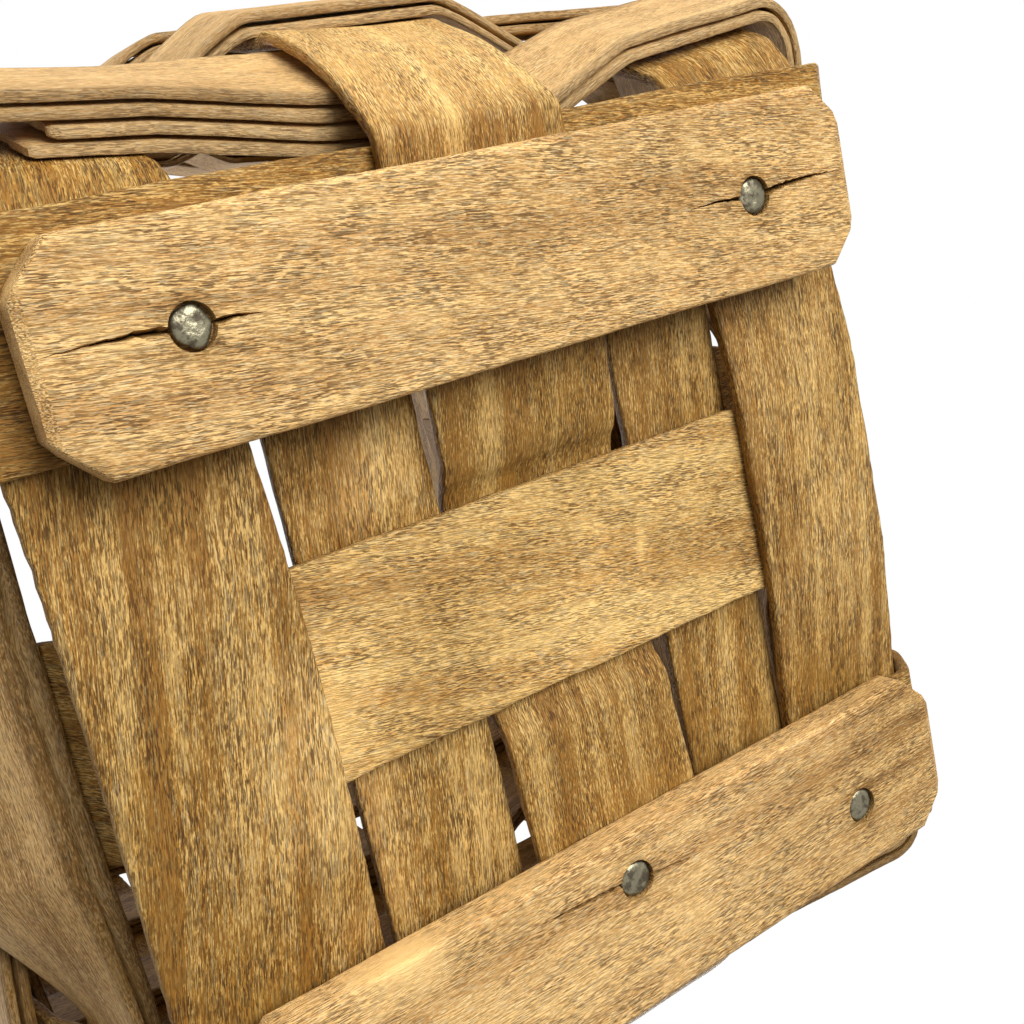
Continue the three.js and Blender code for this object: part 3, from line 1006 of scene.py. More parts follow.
class NodeSheet:
    """Adds and wires the nodes of one material or node group."""

    def __init__(self, tree: bpy.types.NodeTree) -> None:
        """Keeps the node tree that nodes are added to."""
        self.tree = tree

    @classmethod
    def of(cls, owner: bpy.types.ID) -> "NodeSheet":
        """Clears the nodes of a material or world.

        Args:
            owner: The material or world.

        Returns:
            Its sheet.
        """
        owner.use_nodes = True
        owner.node_tree.nodes.clear()
        return cls(owner.node_tree)

    def node(self, kind: str, inputs: dict | None = None, **settings: object) -> bpy.types.Node:
        """Adds a node.

        Args:
            kind: The node's type.
            inputs: Values or sockets by input name or number.
            **settings: The node's own settings.

        Returns:
            The new node.
        """
        made = self.tree.nodes.new(kind)
        for name, value in settings.items():
            setattr(made, name, value)
        for key, value in (inputs or {}).items():
            if isinstance(value, Socket):
                self.tree.links.new(value, made.inputs[key])
            else:
                made.inputs[key].default_value = value
        return made

    def stored(self, name: str, output: str) -> Socket:
        """Reads a value that is stored on the mesh's points."""
        return self.node("ShaderNodeAttribute", attribute_name=name).outputs[output]

    def math(self, operation: str, *values: object) -> Socket:
        """Adds a Math node and returns its output."""
        return self.node("ShaderNodeMath", dict(enumerate(values)), operation=operation).outputs[0]

    def times(self, first: object, second: object) -> Socket:
        """Returns the product of two values."""
        return self.math("MULTIPLY", first, second)

    def line(self, value: object, slope: object, start: object) -> Socket:
        """Returns a value times a slope, added to a start."""
        return self.math("MULTIPLY_ADD", value, slope, start)

    def weighed(self, first: object, share: float, second: object) -> Socket:
        """Returns a share of the first value and the rest of the second."""
        return self.line(first, share, self.times(second, 1 - share))

    def noise(self, place: Socket, scale: Triple, detail: float, roughness: float) -> Socket:
        """Adds a stretched Noise Texture.

        Args:
            place: The places to sample.
            scale: How fine it is in each direction.
            detail: Its detail.
            roughness: Its roughness.

        Returns:
            Its value.
        """
        stretched = self.node("ShaderNodeVectorMath", {0: place, 1: scale}, operation="MULTIPLY").outputs[0]
        inputs = {"Vector": stretched, "Scale": 1.0, "Detail": detail, "Roughness": roughness}
        return self.node("ShaderNodeTexNoise", inputs).outputs["Fac"]

    def between(self, value: object, low: float, high: float) -> Socket:
        """Maps a range of values smoothly to 0 to 1."""
        inputs = {"Value": value, "From Min": low, "From Max": high}
        return self.node("ShaderNodeMapRange", inputs, interpolation_type="SMOOTHSTEP").outputs["Result"]

    def colour_mix(self, share: object, first: object, second: object, kind: str = "MIX") -> Socket:
        """Mixes two colours and returns the result."""
        inputs = {0: share, 6: first, 7: second}
        return self.node("ShaderNodeMix", inputs, data_type="RGBA", blend_type=kind).outputs[2]


def linear(red: int, green: int, blue: int) -> Box:
    """Turns a screen colour into the linear colour that shaders use.

    Args:
        red: The red part, from 0 to 255.
        green: The green part.
        blue: The blue part.

    Returns:
        The linear colour, with its alpha.
    """

    def part(value: int) -> float:
        """One channel, by the usual screen curve."""
        share = value / 255
        return share / 12.92 if share <= 0.04045 else ((share + 0.055) / 1.055) ** 2.4

    return part(red), part(green), part(blue), 1.0


class WoodGrain:
    """The shader group that draws fine splint grain along a strip, shared by all the wood."""

    NAME = "Splint grain"
    INPUTS = {
        "Grain": "Vector",
        "Light": "Color",
        "Middle": "Color",
        "Dark": "Color",
        "Stain and Shade": "Float",
        "Edge": "Float",
        "Fleck": "Float",
        "Edge Tone": "Float",
    }
    OUTPUTS = {"Color": "Color", "Roughness": "Float", "Height": "Float"}
    # Each noise's stretch along, across and through the grain, its detail and its roughness.
    WAVY = {
        "bands": ((7, 240, 240), 2, 0.5),
        "lines": ((105, 3300, 3300), 2, 0.65),
        "fibre": ((520, 5600, 5600), 1, 0.5),
        "pores": ((620, 6200, 6200), 1, 0.5),
        "glints": ((520, 6200, 6200), 1, 0.5),
    }
    STRAIGHT = {
        "drift": ((22, 60, 60), 2, 0.5),
        "blotch": ((34, 70, 70), 4, 0.6),
        "clouds": ((120, 260, 260), 2, 0.5),
        "specks": ((1500, 5200, 5200), 1, 0.5),
    }
    # The values between which each noise goes from unseen to full.
    RANGES = {
        "lines": (0.53, 0.66),
        "pores": (0.48, 0.56),
        "glints": (0.53, 0.64),
        "clouds": (0.3, 0.65),
        "blotch": (0.45, 0.75),
    }
    LIGHT_RANGE = (0.445, 0.55)
    BARE_RANGE = (0.0, 0.6)
    DEEP_SHADE_RANGE = (1.2, 2.0)
    # Each pair is a slope and a start.
    CROWD = (0.6, 0.4)
    UNEVEN = (-0.8, 1.4)
    EDGE_WEAR = (0.8, 0.45)
    ROUGHNESS = (0.12, 0.5)
    FLECK_ROUGHNESS = 0.18
    RELIEF = 0.8
    DRIFT_REACH = 0.0022
    FIBRE_SHARE = 0.5
    LINE_SHARE = 0.45
    BAND_SHARE = 0.28
    STREAK_SHARE = 0.5
    GLINT_SHARE = 0.35
    BLOTCH_SHARE = 0.35
    GLINT_COLOUR = (1.0, 0.8, 0.46, 1.0)
    STAIN_AND_SHADE_COLOUR = (0.40, 0.325, 0.17, 1.0)
    DEEP_SHADE_COLOUR = (0.026, 0.014, 0.006, 1.0)

    @classmethod
    @functools.cache
    def get(cls) -> bpy.types.NodeTree:
        """Builds the group on first use: grain lines, pores, painted highlights as glints, stain with
        painted shade, painted deep shade, and worn edges.

        Returns:
            The group.
        """
        tree = bpy.data.node_groups.new(cls.NAME, "ShaderNodeTree")
        for direction, sockets in (("INPUT", cls.INPUTS), ("OUTPUT", cls.OUTPUTS)):
            for name, kind in sockets.items():
                tree.interface.new_socket(name, in_out=direction, socket_type=f"NodeSocket{kind}")
        sheet = NodeSheet(tree)
        given = sheet.node("NodeGroupInput").outputs
        noises = {name: sheet.noise(given["Grain"], *row) for name, row in cls.STRAIGHT.items()}
        x, y, z = sheet.node("ShaderNodeSeparateXYZ", {0: given["Grain"]}).outputs
        bent = sheet.line(sheet.math("SUBTRACT", noises["drift"], 0.5), cls.DRIFT_REACH, y)
        grain = sheet.node("ShaderNodeCombineXYZ", {0: x, 1: bent, 2: z}).outputs[0]
        noises |= {name: sheet.noise(grain, *row) for name, row in cls.WAVY.items()}
        seen = {name: sheet.between(noises[name], *ends) for name, ends in cls.RANGES.items()}
        fibre, lines, blotch = noises["fibre"], noises["lines"], noises["blotch"]

        fine = sheet.weighed(fibre, cls.FIBRE_SHARE, noises["specks"])
        fine = sheet.weighed(lines, cls.LINE_SHARE, fine)
        fine = sheet.weighed(noises["bands"], cls.BAND_SHARE, fine)
        light = sheet.between(fine, *cls.LIGHT_RANGE)
        colour = sheet.colour_mix(light, given["Middle"], given["Light"])
        colour = sheet.colour_mix(sheet.times(seen["lines"], cls.STREAK_SHARE), colour, given["Dark"])
        flecks = sheet.times(seen["pores"], given["Fleck"])
        flecks = sheet.times(flecks, sheet.line(seen["clouds"], *cls.CROWD))
        colour = sheet.colour_mix(flecks, colour, given["Dark"])
        # Painted highlights: pale glint flecks along the grain.
        colour = sheet.colour_mix(sheet.times(seen["glints"], cls.GLINT_SHARE), colour, cls.GLINT_COLOUR)

        # The stain value carries real stain together with painted shade, and the stain's brown is
        # multiplied in for both.
        stain = sheet.line(light, *cls.UNEVEN)
        stain = sheet.line(given["Stain and Shade"], stain, sheet.times(seen["blotch"], cls.BLOTCH_SHARE))
        stained = sheet.colour_mix(1.0, colour, cls.STAIN_AND_SHADE_COLOUR, "MULTIPLY")
        colour = sheet.colour_mix(sheet.math("MINIMUM", stain, 1.0), colour, stained)
        bare = sheet.between(sheet.times(given["Stain and Shade"], -1.0), *cls.BARE_RANGE)
        colour = sheet.colour_mix(bare, colour, given["Light"])
        # Painted deep shade, for values above 1.2, as in the runners' splits.
        deep_shade = sheet.between(given["Stain and Shade"], *cls.DEEP_SHADE_RANGE)
        colour = sheet.colour_mix(deep_shade, colour, cls.DEEP_SHADE_COLOUR)
        edge = sheet.times(given["Edge"], sheet.line(fibre, *cls.EDGE_WEAR))
        tone = sheet.node("ShaderNodeCombineColor", dict.fromkeys(range(3), given["Edge Tone"])).outputs[0]
        edged = sheet.colour_mix(1.0, colour, tone, "MULTIPLY")
        colour = sheet.colour_mix(sheet.math("MINIMUM", edge, 1.0), colour, edged)

        rough = sheet.line(flecks, cls.FLECK_ROUGHNESS, sheet.line(blotch, *cls.ROUGHNESS))
        height = sheet.math("SUBTRACT", sheet.times(fibre, cls.RELIEF), flecks)
        height = sheet.line(lines, cls.RELIEF, height)
        sheet.node("NodeGroupOutput", {"Color": colour, "Roughness": rough, "Height": height})
        return tree


@dataclass(frozen=True)
class WoodFinish:
    """One stained wood: its colours, and how strongly its pores and edges show."""

    BUMP_STRENGTH = 0.6
    BUMP_DISTANCE = 0.00022
    SPECULAR = 0.22

    name: str
    light: Screen
    middle: Screen
    dark: Screen
    fleck: float
    edge_tone: float

    @functools.cache
    def material(self) -> bpy.types.Material:
        """Makes the material on first use.

        Returns:
            The finish's material.
        """
        made = bpy.data.materials.new(self.name)
        sheet = NodeSheet.of(made)
        given = {
            "Grain": sheet.stored("grain", "Vector"),
            "Light": linear(*self.light),
            "Middle": linear(*self.middle),
            "Dark": linear(*self.dark),
            "Stain and Shade": sheet.stored("stain", "Fac"),
            "Edge": sheet.stored("edge", "Fac"),
            "Fleck": self.fleck,
            "Edge Tone": self.edge_tone,
        }
        found = sheet.node("ShaderNodeGroup", given, node_tree=WoodGrain.get()).outputs
        relief = {"Strength": self.BUMP_STRENGTH, "Distance": self.BUMP_DISTANCE, "Height": found["Height"]}
        surface = {
            "Base Color": found["Color"],
            "Roughness": found["Roughness"],
            "Normal": sheet.node("ShaderNodeBump", relief).outputs[0],
            "Specular IOR Level": self.SPECULAR,
        }
        shader = sheet.node("ShaderNodeBsdfPrincipled", surface)
        sheet.node("ShaderNodeOutputMaterial", {"Surface": shader.outputs[0]})
        return made


@dataclass(frozen=True)
class SteelFinish:
    """Dull hammered steel with brown tarnish."""

    COARSE = ((700, 700, 700), 3, 0.6)
    FINE = ((2600, 2600, 2600), 2, 0.6)
    # The start of each end of the tarnish's range, and its fall where tarnish takes the whole face.
    PATCHES = ((0.62, 0.3), (0.74, 0.2))
    PATCH_ROUGHNESS = 0.25
    FINE_ROUGHNESS = (0.2, 0.25)
    FINE_RELIEF = 0.3
    METAL = (-0.55, 0.95)
    BUMP_STRENGTH = 0.5
    BUMP_DISTANCE = 0.0003

    name: str
    bright: Screen
    tarnish: Screen
    tarnish_share: float

    @functools.cache
    def material(self) -> bpy.types.Material:
        """Makes the material on first use.

        Returns:
            The finish's material.
        """
        made = bpy.data.materials.new(self.name)
        sheet = NodeSheet.of(made)
        place = sheet.node("ShaderNodeTexCoord").outputs["Object"]
        coarse, fine = sheet.noise(place, *self.COARSE), sheet.noise(place, *self.FINE)
        low, high = (start - fall * self.tarnish_share for start, fall in self.PATCHES)
        patches = sheet.between(coarse, low, high)
        rough = sheet.line(patches, self.PATCH_ROUGHNESS, sheet.line(fine, *self.FINE_ROUGHNESS))
        height = sheet.line(fine, self.FINE_RELIEF, coarse)
        relief = {"Strength": self.BUMP_STRENGTH, "Distance": self.BUMP_DISTANCE, "Height": height}
        surface = {
            "Base Color": sheet.colour_mix(patches, linear(*self.bright), linear(*self.tarnish)),
            "Roughness": rough,
            "Metallic": sheet.line(patches, *self.METAL),
            "Normal": sheet.node("ShaderNodeBump", relief).outputs[0],
        }
        shader = sheet.node("ShaderNodeBsdfPrincipled", surface)
        sheet.node("ShaderNodeOutputMaterial", {"Surface": shader.outputs[0]})
        return made


SPLINT_WOOD = WoodFinish("Stained splint", (255, 212, 132), (220, 168, 93), (76, 45, 15), 0.8, 0.85)
WEAVER_WOOD = WoodFinish("Weaver splint", (248, 204, 138), (216, 170, 106), (94, 60, 28), 0.55, 0.5)
BAND_WOOD = WoodFinish("Rim band wood", (246, 202, 132), (210, 164, 98), (96, 62, 28), 0.55, 0.6)
RUNNER_WOOD = WoodFinish("Runner wood", (253, 208, 136), (203, 154, 90), (78, 50, 20), 0.8, 1.12)
NAIL_STEEL = SteelFinish("Worn nail steel", (126, 120, 98), (70, 60, 42), 0.55)
TACK_STEEL = SteelFinish("Tack steel", (140, 134, 116), (84, 68, 46), 0.45)


@dataclass
class BaseGrid:
    """The woven base: six stakes that also rise up the walls, and two fillers."""

    TONES = {
        "stake_left": 0.8,
        "stake_middle": 0.82,
        "stake_right": 0.56,
        "cross_stake_front": 0.95,
        "cross_stake_middle": 0.0,
        "cross_stake_back": 0.7,
        "filler_left": 0.72,
        "filler_right": 0.7,
    }
    SLANTS = {"stake_left": 0.2, "stake_right": 0.13, "cross_stake_middle": 0.2}
    STAKE_SEED = 11
    FILLER_SEED = 21
    KNEE_STEPS = (0.25, 0.5, 0.75)
    STAKE_SLANT = 0.1
    FILLER_SLANT = 0.15
    # Painted shade on the knees of the uprights that the first row covers, for the two halves of the
    # basket.
    LENGTHWISE_KNEE_SHADES = (0.6, 0.3)
    CROSSWISE_KNEE_SHADES = (1.0, 0.3)

    form: BasketForm
    filler_end_inset: float = 2.4
    filler_left_slot: float = 2.1
    filler_right_slot: float = 2.9
    filler_middle_slot: float = 0.45
    filler_tuck: float = 1.1
    crossing_margin: float = 1.4
    crease_length: float = 4.5
    crease_share: float = 0.4
    knee_reach: float = 1.0
    knee_clearance: float = 1.6
    row_run_in: float = 0.8
    lap_relief: float = 0.8
    lap_bulge: float = 1.9
    lap_bulge_share: float = 0.35
    top_inset: float = 1.0
    soften_reach: float = 3.2
    spacing: float = 2.2
    ease_low: float = 16.0
    ease_high: float = 26.0
    ease_passes: int = 5
    soften_steps: int = 5
    runner_boxes: tuple[Box, ...] = ((-67.7, 67.7, -66.5, -37.1), (-67.7, 67.7, 37.1, 66.5))

    def rising_edge(self, upright: Upright, name: str) -> Lines:
        """Draws one edge of an upright's outer face, from just below the first row to its top.

        Args:
            upright: The upright.
            name: Which edge, "left" or "right".

        Returns:
            The points of the edge, from the bottom up.
        """
        form = self.form
        points = []
        for row in range(form.row_count):
            low, high = (form.facet(upright, h) for h in (form.row_low(row), form.row_high(row)))
            run_in = -(self.row_run_in if row else self.knee_clearance) / form.weaver_width
            steps = [(run_in, 0.0), (1.0, 0.0)]
            if form.bulges_over(row, upright):
                bulge = (self.lap_bulge_share, self.lap_bulge)
                steps = [(run_in, self.lap_relief), bulge, (1.0, self.lap_relief)]
            for share, stand_off in steps:
                point = mixed(getattr(low, name), getattr(high, name), share)
                points.append(point + low.facing * stand_off)
        top = form.wall_top - self.top_inset
        points += [getattr(form.facet(upright, height), name) for height in (form.rim_low, top)]
        return points

    def flat_reach(self, upright: Upright) -> float:
        """Finds how far out an upright's stake lies flat before its knee.

        Args:
            upright: The upright.

        Returns:
            The distance from the basket's middle.
        """
        crossing = self.form.cross_stakes if upright.side % 2 == 0 else self.form.stakes
        edges = [edge for stake in crossing for edge in stake.edges]
        edge = max(edges) if upright.side in (1, 2) else -min(edges)
        return edge + self.form.foot_margin if upright.stake.end_layer == 0 else edge - self.form.foot_tuck

    def upright_edges(self, upright: Upright) -> Lines:
        """Draws an upright's two edges from its knee to its top.

        Args:
            upright: The upright.

        Returns:
            The left and right edge lines of its outer face, from the bottom up.
        """
        form = self.form
        onward, outward = form.directions(upright.side)
        low = upright.stake.end_layer * form.layer
        edges = []
        for name in ("left", "right"):
            end, *face = self.rising_edge(upright, name)
            start = form.point(upright.side, self.flat_reach(upright), float(end @ onward), low)
            bend = start + outward * self.knee_reach
            knee = [rounded(start, bend, end, t) for t in self.KNEE_STEPS]
            edges.append(np.array([start, *knee, end, *face]))
        return edges

    def course(self, stake: StakeLine, crossing: tuple[StakeLine, ...]) -> list[tuple[float, float]]:
        """Lists a stake's run across the base.

        Args:
            stake: The stake.
            crossing: The stakes of the other direction.

        Returns:
            Places along it, each with its layer in from the outermost face.
        """
        first, middle, last = [line.edges for line in crossing]
        margin = self.crossing_margin
        run = [
            (first[1] + margin, stake.end_layer),
            (middle[0] - margin, stake.middle_layer),
            (middle[1] + margin, stake.middle_layer),
            (last[0] - margin, stake.end_layer),
        ]
        if stake.middle_layer - stake.end_layer < 2:
            return run
        crease = stake.end_layer + self.crease_share * (stake.middle_layer - stake.end_layer)
        run.insert(1, (middle[0] - self.crease_length, crease))
        run.insert(4, (middle[1] + self.crease_length, crease))
        return run

    def stake_rails(self, stake: StakeLine, start_side: int, crossing: tuple[StakeLine, ...]) -> Lines:
        """Draws a whole stake down one wall, across the base and up the opposite wall.

        Args:
            stake: The stake.
            start_side: The side that it starts from.
            crossing: The stakes of the other direction.

        Returns:
            Its four corner lines.
        """
        form = self.form
        uprights = [upright for upright in form.uprights() if upright.stake == stake]
        start = next(upright for upright in uprights if upright.side == start_side)
        end = next(upright for upright in uprights if upright.side != start_side)
        start_edges, end_edges = self.upright_edges(start), self.upright_edges(end)[::-1]
        course = self.course(stake, crossing)
        edges = []
        for index, sign in enumerate((-1, 1)):
            along = start.along + sign * stake.width / 2
            base = [form.point(start_side, -out, along, layer * form.layer) for out, layer in course]
            edges.append(np.array([*start_edges[index][::-1], *base, *end_edges[index]]))
        edges = filled_in(softened(edges, self.soften_reach, self.soften_steps), self.spacing)
        left, right = eased(edges, self.ease_low, self.ease_high, self.ease_passes)
        forward = np.gradient(left + right, axis=0)
        depth = unit(np.cross(right - left, forward)) * form.splint
        return [left, right, right + depth, left + depth]

    def filler_rails(self, limits: tuple[float, float]) -> Lines:
        """Draws a straight filler between the outermost cross stakes.

        Args:
            limits: The places of its two long edges.

        Returns:
            Its four corner lines.
        """
        half = self.form.grid_half - self.filler_end_inset
        low = self.form.base_z + 2 * self.form.layer
        high = low + self.form.splint
        left, right = limits
        corners = ((left, low), (right, low), (right, high), (left, high))
        return filled_in([np.array([[x, -half, z], [x, half, z]]) for x, z in corners], self.spacing)

    def covers(self, stake: StakeLine, lengthwise: bool) -> list[Box]:
        """Lists what lies over a stake, as boxes of x and y.

        Args:
            stake: The stake.
            lengthwise: Whether it is one of the three that run front to back.

        Returns:
            The boxes as lowest and highest x, then lowest and highest y.
        """
        reach = self.form.grid_half
        boxes = list(self.runner_boxes)
        for other in self.form.cross_stakes if lengthwise else self.form.stakes:
            own = stake.middle_layer if other.is_middle else stake.end_layer
            theirs = other.middle_layer if stake.is_middle else other.end_layer
            if theirs < own:
                low, high = other.edges
                boxes.append((-reach, reach, low, high) if lengthwise else (low, high, -reach, reach))
        return boxes

    def lay(self, name: str, rails: Lines, **marks: object) -> None:
        """Builds one splint, with its seed, slant, covers and knee shades, in its CAD node's stead."""
        strip = Strip(f"{name}_wood", rails, tone=self.TONES[name], **marks)
        dress(strip.build(), name, SPLINT_WOOD.material())

    def build(self) -> None:
        """Builds the stakes and fillers in their CAD nodes' stead."""
        form = self.form
        plan = [(stake, 3, form.stakes, False) for stake in form.cross_stakes]
        plan += [(stake, 0, form.cross_stakes, True) for stake in form.stakes]
        for seed, (stake, side, crossing, lengthwise) in enumerate(plan, start=self.STAKE_SEED):
            painted_knee_shades = (0.0, 0.0)
            if stake.end_layer == 1:
                painted_knee_shades = self.LENGTHWISE_KNEE_SHADES if lengthwise else self.CROSSWISE_KNEE_SHADES
            self.lay(
                stake.name,
                self.stake_rails(stake, side, crossing),
                seed=seed,
                slant=self.SLANTS.get(stake.name, self.STAKE_SLANT),
                covers=self.covers(stake, lengthwise),
                knee_shades=painted_knee_shades,
            )
        left, middle, right = (stake.edges for stake in form.stakes)
        fillers = {
            "filler_left": (left[1] + self.filler_left_slot, middle[0] - self.filler_middle_slot),
            "filler_right": (middle[1] + self.filler_right_slot, right[0] + self.filler_tuck),
        }
        covers = [*self.runner_boxes, (-form.grid_half, form.grid_half, *form.cross_stakes[1].edges)]
        for seed, (name, limits) in enumerate(fillers.items(), start=self.FILLER_SEED):
            self.lay(name, self.filler_rails(limits), seed=seed, slant=self.FILLER_SLANT, covers=covers)


@dataclass
class WovenWalls:
    """The ten rows of doubled splints that go round the uprights."""

    FIRST_SEED = 40
    TONE_SEED = 4

    form: BasketForm
    lap_starts: tuple[float, float] = (0.6, 0.5)
    lap_end: float = 0.75
    corner_stand_off: float = 1.2
    tone_low: float = 0.42
    tone_spread: float = 0.22
    edge_radius: float = 0.3

    def stops(self, row: int, ply: int) -> list[Stop]:
        """Lists the stops of one ply of a row.

        Args:
            row: The row, from 0 at the bottom.
            ply: 0 for the outer ply and 1 for the inner one.

        Returns:
            The stops in order, from under the lap to over it.
        """
        form = self.form
        uprights = form.uprights()
        total = len(uprights) + form.lapped
        found = []
        for step in range(total):
            upright = uprights[(form.first_upright(row) + step) % len(uprights)]
            is_under, is_over = step < form.lapped, step >= len(uprights)
            stands_off = not (upright.stake.is_middle or is_under or is_over)
            if form.is_outside(row, upright):
                gap = form.clearance + self.corner_stand_off * stands_off
                pairs = int(is_over)
            else:
                gap = form.ply_gap - form.splint - form.clearance
                pairs = -1 - int(is_under)
            start = self.lap_starts[ply] if step == 0 else 0.0
            end = self.lap_end if step == total - 1 else 1.0
            found.append(Stop(upright, start, end, gap + pairs * 2 * form.ply_layer))
        return found

    def build(self) -> None:
        """Builds both plies of every row in their CAD nodes' stead."""
        form, maker = self.form, RailMaker(self.form)
        rng = np.random.default_rng(self.TONE_SEED)
        for row in range(form.row_count):
            for ply, side in enumerate(("outer", "inner")):
                node = f"weaver_{row + 1:02d}_{side}"
                low, high = form.row_low(row), form.row_high(row)
                distance = (1 - ply) * form.ply_layer
                rails = maker.strip_rails(self.stops(row, ply), low, high, distance, form.weaver)
                tone = self.tone_low + self.tone_spread * float(rng.random())
                seed = self.FIRST_SEED + 2 * row + ply
                strip = Strip(f"{node}_wood", rails, seed, tone=tone, edge_radius=self.edge_radius)
                dress(strip.build(), node, WEAVER_WOOD.material())


@dataclass
class Fastener:
    """A hammered nail or tack with a flattened head, made along +Z from the head's face."""

    SIDES = 40
    LOBES = (2, 3, 4, 5)
    LOBE_HEIGHT = 0.028
    LOBE_TURN = 6.3
    # Shares of the head's radius and height, from the middle of its face to its underside.
    FACE = ((0.12, 0.0), (0.35, 0.02), (0.6, 0.05), (0.8, 0.16))
    RIM = ((0.93, 0.3), (1.0, 0.5), (1.0, 0.8), (0.94, 1.0))
    FACE_SINK = 0.02
    NECK = (1.15, 1.3)
    ROUND_FROM = 1.2
    POINT_LENGTH = 3
    POINT_END = (0.25, 0.1)
    DENT = 0.13
    DENT_PITCH = 1.7
    SHARP_DEGREES = 50

    name: str
    head_radius: float
    head_height: float
    shank_radius: float
    length: float
    seed: int
    stretch: float = 1.0

    def outline(self, angle: Array) -> Array:
        """Draws the head's uneven outline.

        Args:
            angle: The angles round the head.

        Returns:
            Its share of the head's radius at each angle.
        """
        rng = np.random.default_rng(self.seed)
        made = np.ones(self.SIDES)
        for k in self.LOBES:
            made += rng.normal() * self.LOBE_HEIGHT * np.cos(k * angle + rng.random() * self.LOBE_TURN)
        turn = rng.random() * math.pi
        squeeze = np.hypot(np.cos(angle - turn) * self.stretch, np.sin(angle - turn))
        return made / made.max() * squeeze

    def build(self, place: Matrix) -> Piece:
        """Makes the fastener.

        Args:
            place: Where it goes, with its head's face at the origin and its point along +Z.

        Returns:
            The new object.
        """
        sides, end = self.SIDES, self.length
        angle = np.linspace(0, 2 * math.pi, sides, endpoint=False)
        outline = self.outline(angle)
        r, h, s = self.head_radius, self.head_height, self.shank_radius
        neck, neck_end = self.NECK
        tip_radius, tip_inset = self.POINT_END
        profile = [(share * r, rise * h) for share, rise in self.FACE + self.RIM]
        profile += [(neck * s, h), (s, neck_end * h), (s, end - self.POINT_LENGTH * s)]
        profile.append((tip_radius * s, end - tip_inset * s))
        lumps = Ripple(self.seed + 5, self.DENT_PITCH, self.DENT_PITCH)
        points = []
        for index, (radius, height) in enumerate(profile):
            reach = radius * (outline if radius > self.ROUND_FROM * s else np.ones(sides))
            x, y = reach * np.cos(angle), reach * np.sin(angle)
            dent = np.clip(lumps(x, y), 0, 1) * self.DENT * h if index < len(self.FACE) else 0.0
            points.append(np.stack([x, y, np.full(sides, height) + dent], axis=-1))
        tip = len(profile) * sides
        flat = np.concatenate([*points, [[0, 0, end]], [[0, 0, self.FACE_SINK * h]]])
        faces = tube_faces(len(profile), sides)
        faces += [[tip - sides + k, tip - sides + (k + 1) % sides, tip] for k in range(sides)]
        faces += [[(k + 1) % sides, k, tip + 1] for k in range(sides)]
        mesh = new_mesh(self.name, flat, faces)
        mesh.transform(place)
        return finished(self.name, mesh, self.SHARP_DEGREES)


@dataclass
class Rim:
    """The two bands that clamp the wall's top edge, and the tacks through them."""

    BAND_SEED = 71
    TACK_SEED = 100

    form: BasketForm
    outer_thickness: float = 3.0
    inner_thickness: float = 2.4
    head_radius: float = 2.6
    head_height: float = 0.9
    shank_radius: float = 0.8
    tip_inset: float = 1.0
    edge_radius: float = 0.7
    tone: float = 0.4

    def band(self, node: str, offset: float, thickness: float, seed: int) -> None:
        """Builds one band.

        Args:
            node: The CAD node that it stands for.
            offset: How far its inner face is outside the stakes' outer faces.
            thickness: Its thickness.
            seed: What its irregularities start from.
        """
        form = self.form
        stops = [Stop(upright, 0.0, 1.0, offset) for upright in form.uprights()]
        rails = RailMaker(form).strip_rails(stops, form.rim_low, form.wall_top, 0.0, thickness, True)
        strip = Strip(f"{node}_wood", rails, seed, ring=True, edge_radius=self.edge_radius, tone=self.tone)
        dress(strip.build(), node, BAND_WOOD.material())

    def build(self) -> None:
        """Builds the bands and their tacks in their CAD nodes' stead."""
        form = self.form
        outer, inner = self.outer_thickness, self.inner_thickness
        self.band("rim_band_outer", form.clearance, outer, self.BAND_SEED)
        self.band("rim_band_inner", -form.splint - form.clearance - inner, inner, self.BAND_SEED + 1)
        stack = outer + 2 * form.clearance + form.splint + inner
        length = stack - self.tip_inset + form.clearance + self.head_height
        out = 2 * form.clearance + outer + self.head_height
        sizes = (self.head_radius, self.head_height, self.shank_radius, length)
        for index, upright in enumerate(form.uprights(), start=1):
            facet = form.facet(upright, (form.rim_low + form.wall_top) / 2)
            start = facet.middle + facet.facing * out
            turn = Vector(-facet.facing).to_track_quat("Z", "Y").to_matrix().to_4x4()
            node = f"rim_tack_{index:02d}"
            tack = Fastener(f"{node}_steel", *sizes, self.TACK_SEED + index)
            piece = tack.build(Matrix.Translation(start * MM) @ turn)
            dress(piece, node, TACK_STEEL.material())


